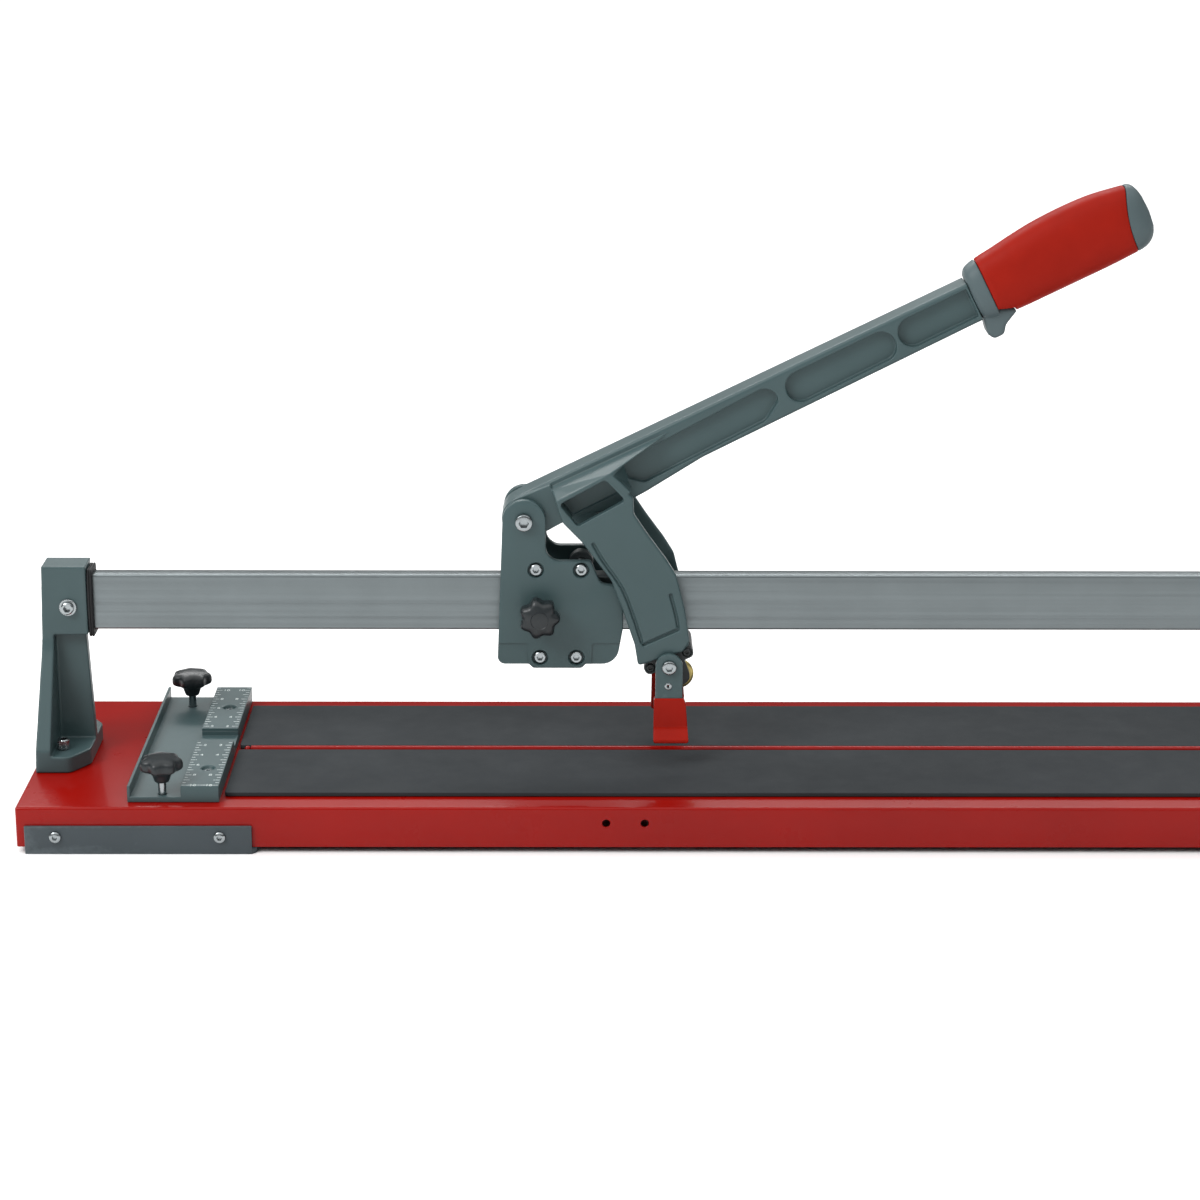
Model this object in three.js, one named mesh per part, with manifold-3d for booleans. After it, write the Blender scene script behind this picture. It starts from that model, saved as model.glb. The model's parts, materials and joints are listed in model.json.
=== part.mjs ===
// Manual tile cutter: a folded steel base with two rubber mats, a rail between two end supports,
// a ball-bearing carriage with a lever, a scoring wheel and a pair of breaking feet.
// Millimetres. +X along the rail, +Z up, -Y towards the user.
// Origin: middle of the footprint, on the ground.
import * as THREE from "three";
import { mergeVertices } from "three/addons/utils/BufferGeometryUtils.js";
import Module from "manifold-3d";

const wasm = await Module();
wasm.setup();

// ---------- driving dimensions ----------
const LENGTH = 1500;
const HALF_LENGTH = LENGTH / 2;
const GAP = 0.3;
const RUNNING = 0.03;

const BASE_HALF_DEPTH = 111.25;
const BASE_BOTTOM = 4.5;
const BASE_TOP = 33.2;
const BASE_WALL = 1.6;
const BASE_BEND_R = 3;
const ARM_HOLE_X = [321.2, 347.5];
const ARM_HOLE_Z = 21.8;
const ARM_HOLE_R = 2.8;

const BRACKET_IN = 6;
const BRACKET_LENGTH = 155;
const BRACKET_HEIGHT = 20.3;
const BRACKET_PLATE = 4.2;
const BRACKET_WALL = 2;
const BRACKET_CHAMFER = 4;
const BRACKET_SCREW_IN = { front: [27, 139], rear: [83] };
const BRACKET_SCREW_Z = 12.7;
const BRACKET_SCREW_HEAD_R = 4.1;
const BRACKET_SCREW_R = 1.9;
const BRACKET_SCREW_HOLE_R = 2.2;

const STIFFENER_HALF_WIDTH = 24;
const STIFFENER_HEIGHT = 16;
const STIFFENER_WALL = 1.5;
const STIFFENER_LENGTH = 1330;

const MAT_END_X = 609.5;
const MAT_NEAR = 4.3;
const MAT_FAR = 90.9;
const MAT_THICKNESS = 3;
const RIDGE_HALF_WIDTH = 2.4;
const RIDGE_HEIGHT = 4.3;
const RIDGE_END_X = 601;
const RIDGE_PIN_X = 603.5;

const RAIL_HALF_WIDTH = 7;
const RAIL_HEIGHT = 40;
const RAIL_CENTRE_Z = BASE_TOP + 114;
const RAIL_BOTTOM = RAIL_CENTRE_Z - RAIL_HEIGHT / 2;
const RAIL_TOP = RAIL_CENTRE_Z + RAIL_HEIGHT / 2;
const RAIL_WALL = 2.5;
const RAIL_CORNER_R = 1.5;
const RAIL_END_X = 734;

const SUPPORT_BLOCK_OUT = 742.2;
const SUPPORT_BLOCK_IN = 711.4;
const SUPPORT_BLOCK_HALF_DEPTH = 12.3;
const SUPPORT_BLOCK_BOTTOM = BASE_TOP + 91.5;
const SUPPORT_TOP = BASE_TOP + 141.3;
const SUPPORT_FOOT_OUT = 747.2;
const SUPPORT_FOOT_IN = 711;
const SUPPORT_FOOT_HALF_DEPTH = 45.4;
const SUPPORT_FOOT_TOP = BASE_TOP + 12;
const SUPPORT_RIB = { foot: 11, head: 6.5 };
const SUPPORT_EDGE_R = 2;
const SUPPORT_LUG = 19;
const SUPPORT_WEB_HALF = 4;
const SUPPORT_BOLT = [730, 28];
const SUPPORT_BOLT_R = 3;
const SUPPORT_BOLT_HEAD = { r: 4.3, height: 7.6 };
const SUPPORT_BOLT_HOLE_R = 3.3;
const CLAMP_BOLT_X = 724.6;
const CLAMP_BOLT_Z = BASE_TOP + 112;
const CLAMP_BOLT_R = 4;
const CLAMP_BOLT_HOLE_R = 4.3;
const CLAMP_HEAD_R = 4.6;
const CLAMP_WASHER_R = 6.4;
const GROMMET_OUT = 711.1;
const GROMMET_IN = 707.3;
const GROMMET_HALF_DEPTH = 11;
const GROMMET_HALF_HEIGHT = 25;
const GROMMET_BOW = 1.6;

const FENCE_X = [-674.6, -612];
const FENCE_Y = [-102, 108];
const FENCE_FLOOR = 4;
const FENCE_HEIGHT = 12;
const FENCE_FLANGE = 2;
const RULER_WIDTH = 26;
const RULER_GROOVE_Y = [-9.3, 15];
const RULER_GROOVE_DEPTH = 5.5;
const FENCE_KNOBS = [[-651.4, -95], [-654, 87.5]];
const FENCE_SCREW_X = -623.6;
const FENCE_SCREW_Y = [-65.8, 62.1];
const FENCE_STUD_R = 2.9;
const FENCE_STUD_HOLE_R = 3.2;
const STAR_LOBES = 7;
const STAR_R = 15;
const STAR_LOBE_DEPTH = 1.5;
const FENCE_KNOB = { seat: 13, neckR: 6, neck: 8, height: 11 };
const FENCE_STUD_TOP = 20.6;

const PIVOT = { x: -404.4, z: BASE_TOP + 177.8 };
const PLATE_OUT = 23.5;
const PLATE_IN = 17.5;
const EAR_R = 15;
const BEARING_SIDES = 20;
const UPPER_BEARING = { r: 8.4, journal: 2.9, axleX: [8.1, 39.7], axleZ: -35.3 };
const LOWER_BEARING = { r: 12.2, journal: 5.9, axleX: [10.8, 36.3], axleZ: -99.2, lift: 3 };
const BEARING_HALF_WIDTH = 4;
const AXLE_HOLE_R = 2.8;
const AXLE_RECESS = { r: 6.2, depth: 3.6 };
const PIVOT_HOLE_R = 4.6;
const LOCK = { x: 10.8, z: -65.5, studR: 3, studOut: 44, studIn: 11 };
const LOCK_KNOB = { r: 14.8, neckR: 8, neck: 6, height: 15, clearance: 0.8 };
const BRAKE_PAD = { r: 6, out: 10.7, inn: 7.9, edge: 0.6 };
const SPRING = { wire: 1, coilR: 8, turns: 2.5 };

const ARM_ANGLE = THREE.MathUtils.degToRad(26.9);
const ARM_HALF_WIDTH = 13;
const POCKET_DEPTH = 3.2;
const HUB_R = 15.5;
const HUB_HALF_WIDTH = 17;
const PIVOT_R = 4.2;
const SHAFT_SIDES = 20;
const SPRING_SIDE = 9;
const LEG_OUT = 31;
const LEG_IN = 24.3;
const PANEL = 0.7;
const TANG_END = 452;
const LINER_HALF_WIDTH = 10;

const FOOT = { x: 101.2, z: -102, r: 9.5 };
const FOOT_IN = 32.4;
const FOOT_OUT = 35.9;
const LINK_LENGTH = 51;
const LINK_PIVOT_HOLE_R = 3.3;
const RIVET = { x: -0.6, z: -14, r: 1.8, headR: 2.5, bore: 1, holeR: 2 };
const SHOE = { top: 22.6, bottom: 54.4, skin: 1.5, toe: 6.5 };
const WHEEL_R = 11;
const WHEEL_AXLE_R = 1.8;
const WHEEL_FROM_FOOT = 18;
const FOOT_PIVOT_R = 3;
const HOLDER_PINS = [-14, 14];
const HOLDER_PIN_R = 3;
const LEG_TILT = THREE.MathUtils.degToRad(24.5);

// ---------- solids ----------
function toManifold(source) {
  const bare = new THREE.BufferGeometry();
  const plain = source.index ? source.toNonIndexed() : source;
  bare.setAttribute("position", plain.getAttribute("position").clone());
  const merged = mergeVertices(bare, 1e-4);
  const index = merged.index.array;
  const kept = [];
  for (let i = 0; i < index.length; i += 3) {
    const [a, b, c] = [index[i], index[i + 1], index[i + 2]];
    if (a !== b && b !== c && c !== a) kept.push(a, b, c);
  }
  return new wasm.Manifold(
    new wasm.Mesh({
      numProp: 3,
      vertProperties: new Float32Array(merged.getAttribute("position").array),
      triVerts: new Uint32Array(kept),
    }),
  );
}

function fuse(...solids) {
  return solids.reduce((sum, solid) => sum.add(solid));
}

function cut(solid, ...tools) {
  return tools.reduce((rest, tool) => rest.subtract(tool), solid);
}

function toGeometry(solid) {
  const mesh = solid.getMesh();
  const geometry = new THREE.BufferGeometry();
  geometry.setAttribute("position", new THREE.BufferAttribute(new Float32Array(mesh.vertProperties), 3));
  geometry.setIndex(new THREE.BufferAttribute(new Uint32Array(mesh.triVerts), 1));
  const flat = geometry.toNonIndexed();
  flat.computeVertexNormals();
  return flat;
}

// ---------- drawing helpers ----------
function outline(points) {
  return new THREE.Shape(points.map(([a, b]) => new THREE.Vector2(a, b)));
}

// Closed outline whose corners are rounded: each point is [a, b, radius].
function rounded(points) {
  const shape = new THREE.Shape();
  const count = points.length;
  points.forEach(([a, b, r = 0], i) => {
    const here = new THREE.Vector2(a, b);
    const before = new THREE.Vector2(...points[(i + count - 1) % count].slice(0, 2));
    const after = new THREE.Vector2(...points[(i + 1) % count].slice(0, 2));
    const room = 0.49 * Math.min(before.distanceTo(here), after.distanceTo(here));
    const back = before.clone().sub(here).normalize();
    const on = after.clone().sub(here).normalize();
    const half = Math.acos(THREE.MathUtils.clamp(back.dot(on), -1, 1)) / 2;
    const run = Math.min(r / Math.tan(half), room);
    const from = here.clone().addScaledVector(back, run);
    const to = here.clone().addScaledVector(on, run);
    if (i === 0) shape.moveTo(from.x, from.y);
    else shape.lineTo(from.x, from.y);
    if (r > 0) shape.quadraticCurveTo(here.x, here.y, to.x, to.y);
  });
  shape.closePath();
  return shape;
}

function extruded(shape, depth, steps) {
  return new THREE.ExtrudeGeometry(shape, { depth, bevelEnabled: false, curveSegments: steps });
}

// Shape drawn in XZ, filling Y from y0 to y1.
function slabY(shape, y0, y1, steps = 5) {
  return toManifold(extruded(shape, y1 - y0, steps).rotateX(Math.PI / 2).translate(0, y1, 0));
}

// Shape drawn in YZ, filling X from x0 to x1.
function slabX(shape, x0, x1, steps = 5) {
  const turn = new THREE.Matrix4().makeBasis(
    new THREE.Vector3(0, 1, 0),
    new THREE.Vector3(0, 0, 1),
    new THREE.Vector3(1, 0, 0),
  );
  return toManifold(extruded(shape, x1 - x0, steps).applyMatrix4(turn).translate(x0, 0, 0));
}

// Shape drawn in XY, filling Z from z0 to z1.
function slabZ(shape, z0, z1, steps = 5) {
  return toManifold(extruded(shape, z1 - z0, steps).translate(0, 0, z0));
}

function block(x, y, z) {
  const box = new THREE.BoxGeometry(x[1] - x[0], y[1] - y[0], z[1] - z[0]);
  return toManifold(box.translate((x[0] + x[1]) / 2, (y[0] + y[1]) / 2, (z[0] + z[1]) / 2));
}

// Solid of revolution about an axis parallel to Y or Z; the profile is [radius, position along the axis].
function turned(profile, axis, at, sides = 20) {
  const points = profile.map(([r, s]) => new THREE.Vector2(r, s));
  const lathe = new THREE.LatheGeometry(points, sides);
  if (axis === "z") lathe.rotateX(Math.PI / 2);
  lathe.translate(...at);
  const solid = toManifold(lathe);
  if (solid.volume() > 0) return solid;
  const other = new THREE.LatheGeometry(points.slice().reverse(), sides);
  if (axis === "z") other.rotateX(Math.PI / 2);
  return toManifold(other.translate(...at));
}

function rod(r, y0, y1, x, z, sides = 20) {
  return turned([[0, y0], [r, y0], [r, y1], [0, y1]], "y", [x, 0, z], sides);
}

function post(r, z0, z1, x, y, sides = 20) {
  return turned([[0, z0], [r, z0], [r, z1], [0, z1]], "z", [x, y, 0], sides);
}

function hexSocket(across, depth, axis, at) {
  const prism = new THREE.CylinderGeometry(across / Math.sqrt(3), across / Math.sqrt(3), depth, 6);
  if (axis === "z") prism.rotateX(Math.PI / 2);
  return toManifold(prism.translate(...at));
}

// Radius of a faceted bore whose flats clear a shaft of radius r.
function runningBore(r, sides) {
  return (r + RUNNING) / Math.cos(Math.PI / sides);
}

function mirroredX(solid) {
  return solid.mirror([1, 0, 0]);
}

function mirroredY(solid) {
  return solid.mirror([0, 1, 0]);
}

// ---------- base ----------
// Domed rivet head that closes each end of the breaking ridge, painted over with the base.
function ridgePin(x) {
  const z = BASE_TOP;
  const profile = [[0, z - 0.5], [2.2, z - 0.5], [2.2, z + 2.6], [1.5, z + 3.7], [0, z + 4.2]];
  return turned(profile, "z", [x, 0, 0], 14);
}

function basePan() {
  const d = BASE_HALF_DEPTH;
  const bend = BASE_BEND_R;
  const skin = [[-d, BASE_BOTTOM], [d, BASE_BOTTOM], [d, BASE_TOP, bend], [-d, BASE_TOP, bend]];
  const w = d - BASE_WALL;
  const top = BASE_TOP - BASE_WALL;
  const inner = BASE_BEND_R - BASE_WALL;
  const hollow = [[-w, BASE_BOTTOM - 1], [w, BASE_BOTTOM - 1], [w, top, inner], [-w, top, inner]];
  let pan = slabX(rounded(skin), -HALF_LENGTH, HALF_LENGTH, 3);
  pan = pan.subtract(slabX(rounded(hollow), -HALF_LENGTH + BASE_WALL, HALF_LENGTH - BASE_WALL, 3));
  for (const x of ARM_HOLE_X) {
    for (const side of [-1, 1]) {
      pan = pan.subtract(rod(ARM_HOLE_R, -d - 1, d + 1, side * x, ARM_HOLE_Z, 12));
    }
  }
  for (const end of [-1, 1]) pan = cut(pan, ...bracketScrewHoles(end));
  const [boltX, boltY] = SUPPORT_BOLT;
  for (const x of [-boltX, boltX]) {
    for (const y of [-boltY, boltY]) {
      pan = pan.subtract(post(SUPPORT_BOLT_HOLE_R, top - 1, BASE_TOP + 1, x, y, 12));
    }
  }
  return fuse(pan, ridgePin(-RIDGE_PIN_X), ridgePin(RIDGE_PIN_X));
}

function bracketScrewHoles(end) {
  const r = BRACKET_SCREW_HOLE_R;
  const y1 = BASE_HALF_DEPTH + 9;
  const y0 = BASE_HALF_DEPTH - 9;
  const hole = (distance, side) => {
    const [from, to] = side < 0 ? [-y1, -y0] : [y0, y1];
    return rod(r, from, to, end * (HALF_LENGTH - distance), BRACKET_SCREW_Z, 10);
  };
  const front = BRACKET_SCREW_IN.front.map((distance) => hole(distance, -1));
  const rear = BRACKET_SCREW_IN.rear.map((distance) => hole(distance, 1));
  return [...front, ...rear];
}

function baseStiffener() {
  const top = BASE_TOP - BASE_WALL - GAP;
  const w = STIFFENER_HALF_WIDTH;
  const t = STIFFENER_WALL;
  const low = top - STIFFENER_HEIGHT;
  const lip = w + 12;
  const hat = [
    [-lip, top], [-lip, top - t], [-w, top - t], [-w, low], [w, low], [w, top - t], [lip, top - t],
    [lip, top], [w - t, top], [w - t, low + t], [-w + t, low + t], [-w + t, top],
  ];
  return slabX(outline(hat), -STIFFENER_LENGTH / 2, STIFFENER_LENGTH / 2);
}

function mat(side) {
  const y = side < 0 ? [-MAT_FAR, -MAT_NEAR] : [MAT_NEAR, MAT_FAR];
  const shape = rounded([
    [-MAT_END_X, y[0], 2], [MAT_END_X, y[0], 2], [MAT_END_X, y[1], 2], [-MAT_END_X, y[1], 2],
  ]);
  return slabZ(shape, BASE_TOP + GAP, BASE_TOP + MAT_THICKNESS + GAP, 3);
}

function breakingRidge() {
  const w = RIDGE_HALF_WIDTH;
  const z0 = BASE_TOP + GAP;
  const z1 = BASE_TOP + RIDGE_HEIGHT;
  return slabX(rounded([[-w, z0], [w, z0], [w, z1, 1.6], [-w, z1, 1.6]]), -RIDGE_END_X, RIDGE_END_X, 4);
}

function footBracket() {
  const out = -HALF_LENGTH + BRACKET_IN;
  const inn = out + BRACKET_LENGTH;
  const d = BASE_HALF_DEPTH + GAP + BRACKET_WALL;
  const c = BRACKET_CHAMFER;
  const tip = inn + c - 1;
  const plan = [[out, -d], [inn - 0.1, -d], [tip, -d + c], [tip, d - c], [inn - 0.1, d], [out, d]];
  let bracket = slabZ(outline(plan), 0, BRACKET_PLATE);
  for (const side of [-1, 1]) {
    const y = side < 0 ? [-d, -d + BRACKET_WALL] : [d - BRACKET_WALL, d];
    bracket = bracket.add(block([out, inn - 0.1], y, [0, BRACKET_HEIGHT]));
  }
  const window = rounded([[out + 22, -78, 6], [inn - 18, -78, 6], [inn - 18, 78, 6], [out + 22, 78, 6]]);
  return cut(bracket, slabZ(window, -1, BRACKET_PLATE + 1, 4), ...bracketScrewHoles(-1));
}

// Pan-head screw through the bracket's flange and the base's wall.
function bracketScrew(x, side) {
  const face = BASE_HALF_DEPTH + GAP + BRACKET_WALL + 0.1;
  const r = BRACKET_SCREW_HEAD_R;
  const inside = BASE_HALF_DEPTH - 6;
  const shank = BRACKET_SCREW_R;
  const profile = [
    [0, inside], [shank, inside], [shank, face], [r, face],
    [r, face + 1.2], [2.6, face + 2.3], [0, face + 2.5],
  ];
  const screw = turned(profile, "y", [x, 0, BRACKET_SCREW_Z], 12);
  const socket = hexSocket(2.6, 3, "y", [x, face + 2.2, BRACKET_SCREW_Z]);
  const made = screw.subtract(socket);
  return side < 0 ? mirroredY(made) : made;
}

// ---------- rail and supports ----------
function rail() {
  const w = RAIL_HALF_WIDTH;
  const t = RAIL_WALL;
  const r = RAIL_CORNER_R;
  const tube = rounded([[-w, RAIL_BOTTOM, r], [w, RAIL_BOTTOM, r], [w, RAIL_TOP, r], [-w, RAIL_TOP, r]]);
  const bore = outline([
    [-w + t, RAIL_BOTTOM + t], [w - t, RAIL_BOTTOM + t], [w - t, RAIL_TOP - t], [-w + t, RAIL_TOP - t],
  ]);
  let bar = slabX(tube, -RAIL_END_X, RAIL_END_X, 3);
  bar = bar.subtract(slabX(bore, -RAIL_END_X - 1, RAIL_END_X + 1));
  for (const x of [-CLAMP_BOLT_X, CLAMP_BOLT_X]) {
    bar = bar.subtract(rod(CLAMP_BOLT_HOLE_R, -w - 1, w + 1, x, CLAMP_BOLT_Z, 14));
  }
  return bar;
}

function endSupport() {
  const d = SUPPORT_BLOCK_HALF_DEPTH;
  const out = -SUPPORT_BLOCK_OUT;
  const inn = -SUPPORT_BLOCK_IN;
  const under = SUPPORT_BLOCK_BOTTOM;
  const edge = SUPPORT_EDGE_R;
  const neck = SUPPORT_TOP - edge;
  const footD = SUPPORT_FOOT_HALF_DEPTH;
  const footOut = -SUPPORT_FOOT_OUT;
  const footInn = -SUPPORT_FOOT_IN;
  const heel = SUPPORT_FOOT_TOP + 4;
  const z0 = BASE_TOP + GAP;
  const crown = rounded([[-d, under], [d, under], [d, SUPPORT_TOP, edge], [-d, SUPPORT_TOP, edge]]);
  const head = slabX(crown, out, inn, 2);
  const flare = rounded([
    [-footD, z0], [footD, z0], [footD, heel, 4], [d, under - 6, 30],
    [d, neck], [-d, neck], [-d, under - 6, 30], [-footD, heel, 4],
  ]);
  const lean = outline([
    [footOut, z0], [footOut + SUPPORT_RIB.foot, z0],
    [out + SUPPORT_RIB.head, under], [out + SUPPORT_RIB.head, neck], [out, neck],
  ]);
  const rib = slabX(flare, footOut - 1, inn).intersect(slabY(lean, -footD - 1, footD + 1));
  const web = slabY(
    outline([
      [out, z0], [footInn, z0], [footInn, SUPPORT_FOOT_TOP], [inn - 3, under + 1], [out + 2, under + 1],
    ]),
    -SUPPORT_WEB_HALF,
    SUPPORT_WEB_HALF,
  );
  const lug = footD - SUPPORT_LUG;
  const foot = slabZ(
    rounded([
      [footOut, -footD, 3], [footInn - 12, -footD, 4], [footInn, -lug, 6],
      [footInn, lug, 6], [footInn - 12, footD, 4], [footOut, footD, 3],
    ]),
    z0,
    SUPPORT_FOOT_TOP,
  );
  const seat = RAIL_HALF_WIDTH + GAP;
  const socket = block([-RAIL_END_X - GAP, inn + 1], [-seat, seat], [RAIL_BOTTOM - GAP, RAIL_TOP + GAP]);
  const [boltX, boltY] = SUPPORT_BOLT;
  const clampHole = rod(CLAMP_BOLT_HOLE_R, -d - 1, d + 1, -CLAMP_BOLT_X, CLAMP_BOLT_Z, 14);
  const footHoles = [-boltY, boltY].map((y) => {
    return post(SUPPORT_BOLT_HOLE_R, BASE_TOP - 1, SUPPORT_FOOT_TOP + 1, -boltX, y, 12);
  });
  return cut(fuse(head, rib, web, foot), socket, clampHole, ...footHoles);
}

function railGrommet() {
  const d = GROMMET_HALF_DEPTH;
  const h = GROMMET_HALF_HEIGHT;
  const z = RAIL_CENTRE_Z;
  const bow = GROMMET_BOW;
  const body = slabX(
    rounded([
      [-d, z - h, 3], [d, z - h, 3], [d + bow, z, 40], [d, z + h, 3], [-d, z + h, 3], [-d - bow, z, 40],
    ]),
    -GROMMET_OUT,
    -GROMMET_IN,
    4,
  );
  const seat = RAIL_HALF_WIDTH + GAP;
  return body.subtract(
    block([-GROMMET_OUT - 1, -GROMMET_IN + 1], [-seat, seat], [RAIL_BOTTOM - GAP, RAIL_TOP + GAP]),
  );
}

// Through bolt that clamps the rail's end in its support, with a serrated washer face and a nut.
function railClampBolt() {
  const d = SUPPORT_BLOCK_HALF_DEPTH + GAP;
  const head = CLAMP_HEAD_R;
  const washer = CLAMP_WASHER_R;
  const shank = CLAMP_BOLT_R;
  const profile = [
    [0, -d - 4.6], [head - 1, -d - 4.6], [head, -d - 4], [head, -d - 1.4], [washer, -d - 1.4], [washer, -d],
    [shank, -d], [shank, d], [washer, d], [washer, d + 4.5], [0, d + 4.5],
  ];
  const bolt = turned(profile, "y", [-CLAMP_BOLT_X, 0, CLAMP_BOLT_Z], 18);
  return bolt.subtract(hexSocket(4.6, 5, "y", [-CLAMP_BOLT_X, -d - 4.6, CLAMP_BOLT_Z]));
}

function supportBolt(x, y) {
  const z = SUPPORT_FOOT_TOP + 0.1;
  const low = BASE_TOP - BASE_WALL - 2;
  const shank = SUPPORT_BOLT_R;
  const { r, height } = SUPPORT_BOLT_HEAD;
  const top = z + height;
  const profile = [
    [0, low - 5], [shank, low - 5], [shank, z], [r, z], [r, top - 0.6], [r - 0.6, top], [0, top],
  ];
  return turned(profile, "z", [x, y, 0], 12).subtract(hexSocket(4.2, 6, "z", [x, y, top]));
}

// ---------- fence with ruler ----------
function fence() {
  const z0 = BASE_TOP + GAP;
  const floor = BASE_TOP + FENCE_FLOOR;
  const top = BASE_TOP + FENCE_HEIGHT;
  const [x0, x1] = FENCE_X;
  const profile = outline([
    [x0, z0], [x1, z0], [x1, top], [x1 - RULER_WIDTH, top], [x1 - RULER_WIDTH, floor],
    [x0 + FENCE_FLANGE, floor], [x0 + FENCE_FLANGE, top], [x0, top],
  ]);
  let body = slabY(profile, FENCE_Y[0], FENCE_Y[1]);
  const grooveFloor = top - RULER_GROOVE_DEPTH;
  body = body.subtract(block([x1 - RULER_WIDTH - 1, x1 + 1], RULER_GROOVE_Y, [grooveFloor, top + 1]));
  FENCE_SCREW_Y.forEach((y) => {
    const sink = [[0, z0 - 1], [2.4, z0 - 1], [2.4, top - 3], [5.2, top - 0.6], [5.2, top + 1], [0, top + 1]];
    body = body.subtract(turned(sink, "z", [FENCE_SCREW_X, y, 0], 16));
  });
  FENCE_KNOBS.forEach(([x, y]) => {
    body = body.subtract(post(FENCE_STUD_HOLE_R, z0 - 1, floor + 1, x, y, 14));
  });
  return body;
}

function fenceScrew(y) {
  const top = BASE_TOP + FENCE_HEIGHT;
  const z0 = BASE_TOP + GAP;
  const profile = [
    [0, z0 + 0.2], [2, z0 + 0.2], [2, top - 2.8], [4.7, top - 0.9], [4.7, top - 0.5], [0, top - 0.5],
  ];
  const screw = turned(profile, "z", [FENCE_SCREW_X, y, 0], 16);
  return screw.subtract(hexSocket(2.8, 2.4, "z", [FENCE_SCREW_X, y, top - 0.5]));
}

// Lobed hand knob: a scalloped, domed head on a neck, drawn about Z with its seat at z = 0.
function starShape(radius, depth) {
  const shape = new THREE.Shape();
  const steps = STAR_LOBES * 5;
  for (let i = 0; i < steps; i += 1) {
    const angle = (i / steps) * 2 * Math.PI;
    const r = radius - depth * (1 - Math.cos(STAR_LOBES * angle));
    if (i === 0) shape.moveTo(r, 0);
    else shape.lineTo(r * Math.cos(angle), r * Math.sin(angle));
  }
  shape.closePath();
  return shape;
}

function starHead(radius, neckR, neckLength, height) {
  const star = slabZ(starShape(radius, STAR_LOBE_DEPTH), 0, height + neckLength);
  const rim = neckLength + height * 0.45;
  const crown = neckLength + height * 0.85;
  const profile = [
    [0, 0], [neckR, 0], [neckR, neckLength - 1], [radius - 2, neckLength], [radius, neckLength + 1.5],
    [radius, rim], [radius * 0.7, crown], [0, neckLength + height],
  ];
  const dome = turned(profile, "z", [0, 0, 0], 21);
  return star.intersect(dome);
}

function fenceKnob([x, y]) {
  const { neckR, neck, height } = FENCE_KNOB;
  const seat = BASE_TOP + FENCE_KNOB.seat;
  const head = starHead(STAR_R, neckR, neck, height).translate([x, y, seat]);
  return head.subtract(post(FENCE_STUD_HOLE_R, seat - 1, seat + neck, x, y, 14));
}

function fenceStud([x, y]) {
  return post(FENCE_STUD_R, BASE_TOP + GAP + 0.2, BASE_TOP + FENCE_STUD_TOP, x, y, 14);
}

// ---------- carriage ----------
function at(x, z) {
  return [PIVOT.x + x, PIVOT.z + z];
}

function placed(points) {
  return points.map(([x, z, r]) => [PIVOT.x + x, PIVOT.z + z, r]);
}

function carriagePlate() {
  const skin = rounded(
    placed([
      [-EAR_R, 0, 0], [-18.6, -93, 0], [-19, -103.9, 6], [3, -103.9, 1], [6, -106.9, 2],
      [40, -106.9, 2], [43, -103.9, 1], [64.4, -103.9, 9], [68.9, -78, 3], [68.9, -48, 4], [53, -45, 4],
      [46.6, -28.7, 2], [EAR_R, -28.7, 10], [EAR_R, 0, 0],
    ]),
  );
  const [px, pz] = at(0, 0);
  let plate = slabY(skin, -PLATE_OUT, -PLATE_IN).add(rod(EAR_R, -PLATE_OUT, -PLATE_IN, px, pz, 32));
  plate = plate.subtract(rod(PIVOT_HOLE_R, -PLATE_OUT - 1, -PLATE_IN + 1, px, pz, 18));
  for (const bearing of [UPPER_BEARING, LOWER_BEARING]) {
    for (const x of bearing.axleX) {
      const [ax, az] = at(x, bearing.axleZ);
      plate = plate.subtract(rod(AXLE_HOLE_R, -PLATE_OUT - 1, -PLATE_IN + 1, ax, az, 12));
      const floor = -PLATE_OUT + AXLE_RECESS.depth;
      plate = plate.subtract(rod(AXLE_RECESS.r, -PLATE_OUT - 1, floor, ax, az, 16));
    }
  }
  const recesses = [
    [[-24, -88.4], [2.4, -88.4], [2.4, -108], [-24, -108]],
    [[47, -88.4], [74, -88.4], [74, -108], [47, -108]],
  ];
  for (const corners of recesses) {
    plate = plate.subtract(slabY(outline(placed(corners)), -PLATE_OUT - 1, -PLATE_OUT + 0.8));
  }
  return plate;
}

function carriagePlateFront() {
  const [lx, lz] = at(LOCK.x, LOCK.z);
  return carriagePlate().subtract(rod(LOCK.studR + GAP, -PLATE_OUT - 1, -PLATE_IN + 1, lx, lz, 16));
}

// Axle bolt with countersunk heads flush in the plates; the journal is raised where it is eccentric.
function bearingAxle(bearing, x) {
  const [ax, az] = at(x, bearing.axleZ);
  const lift = bearing.lift ?? 0;
  const head = PLATE_OUT - 0.2;
  const seat = PLATE_OUT - 3.4;
  const profile = [
    [0, -head], [4.2, -head], [4.2, -seat], [2.5, -seat], [2.5, seat], [4.2, seat], [4.2, head], [0, head],
  ];
  const bolt = turned(profile, "y", [ax, 0, az], 12);
  const shoulder = PLATE_IN - GAP;
  const face = BEARING_HALF_WIDTH + GAP;
  const r = bearing.journal;
  const collar = r + 1.5;
  const journal = turned(
    [
      [0, -shoulder], [collar, -shoulder], [collar, -face], [r, -face], [r, face], [collar, face],
      [collar, shoulder], [0, shoulder],
    ],
    "y",
    [ax, 0, az + lift],
    BEARING_SIDES,
  );
  const key = hexSocket(3, 2.6, "y", [ax, -head, az]);
  return bolt.add(journal).subtract(key);
}

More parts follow.
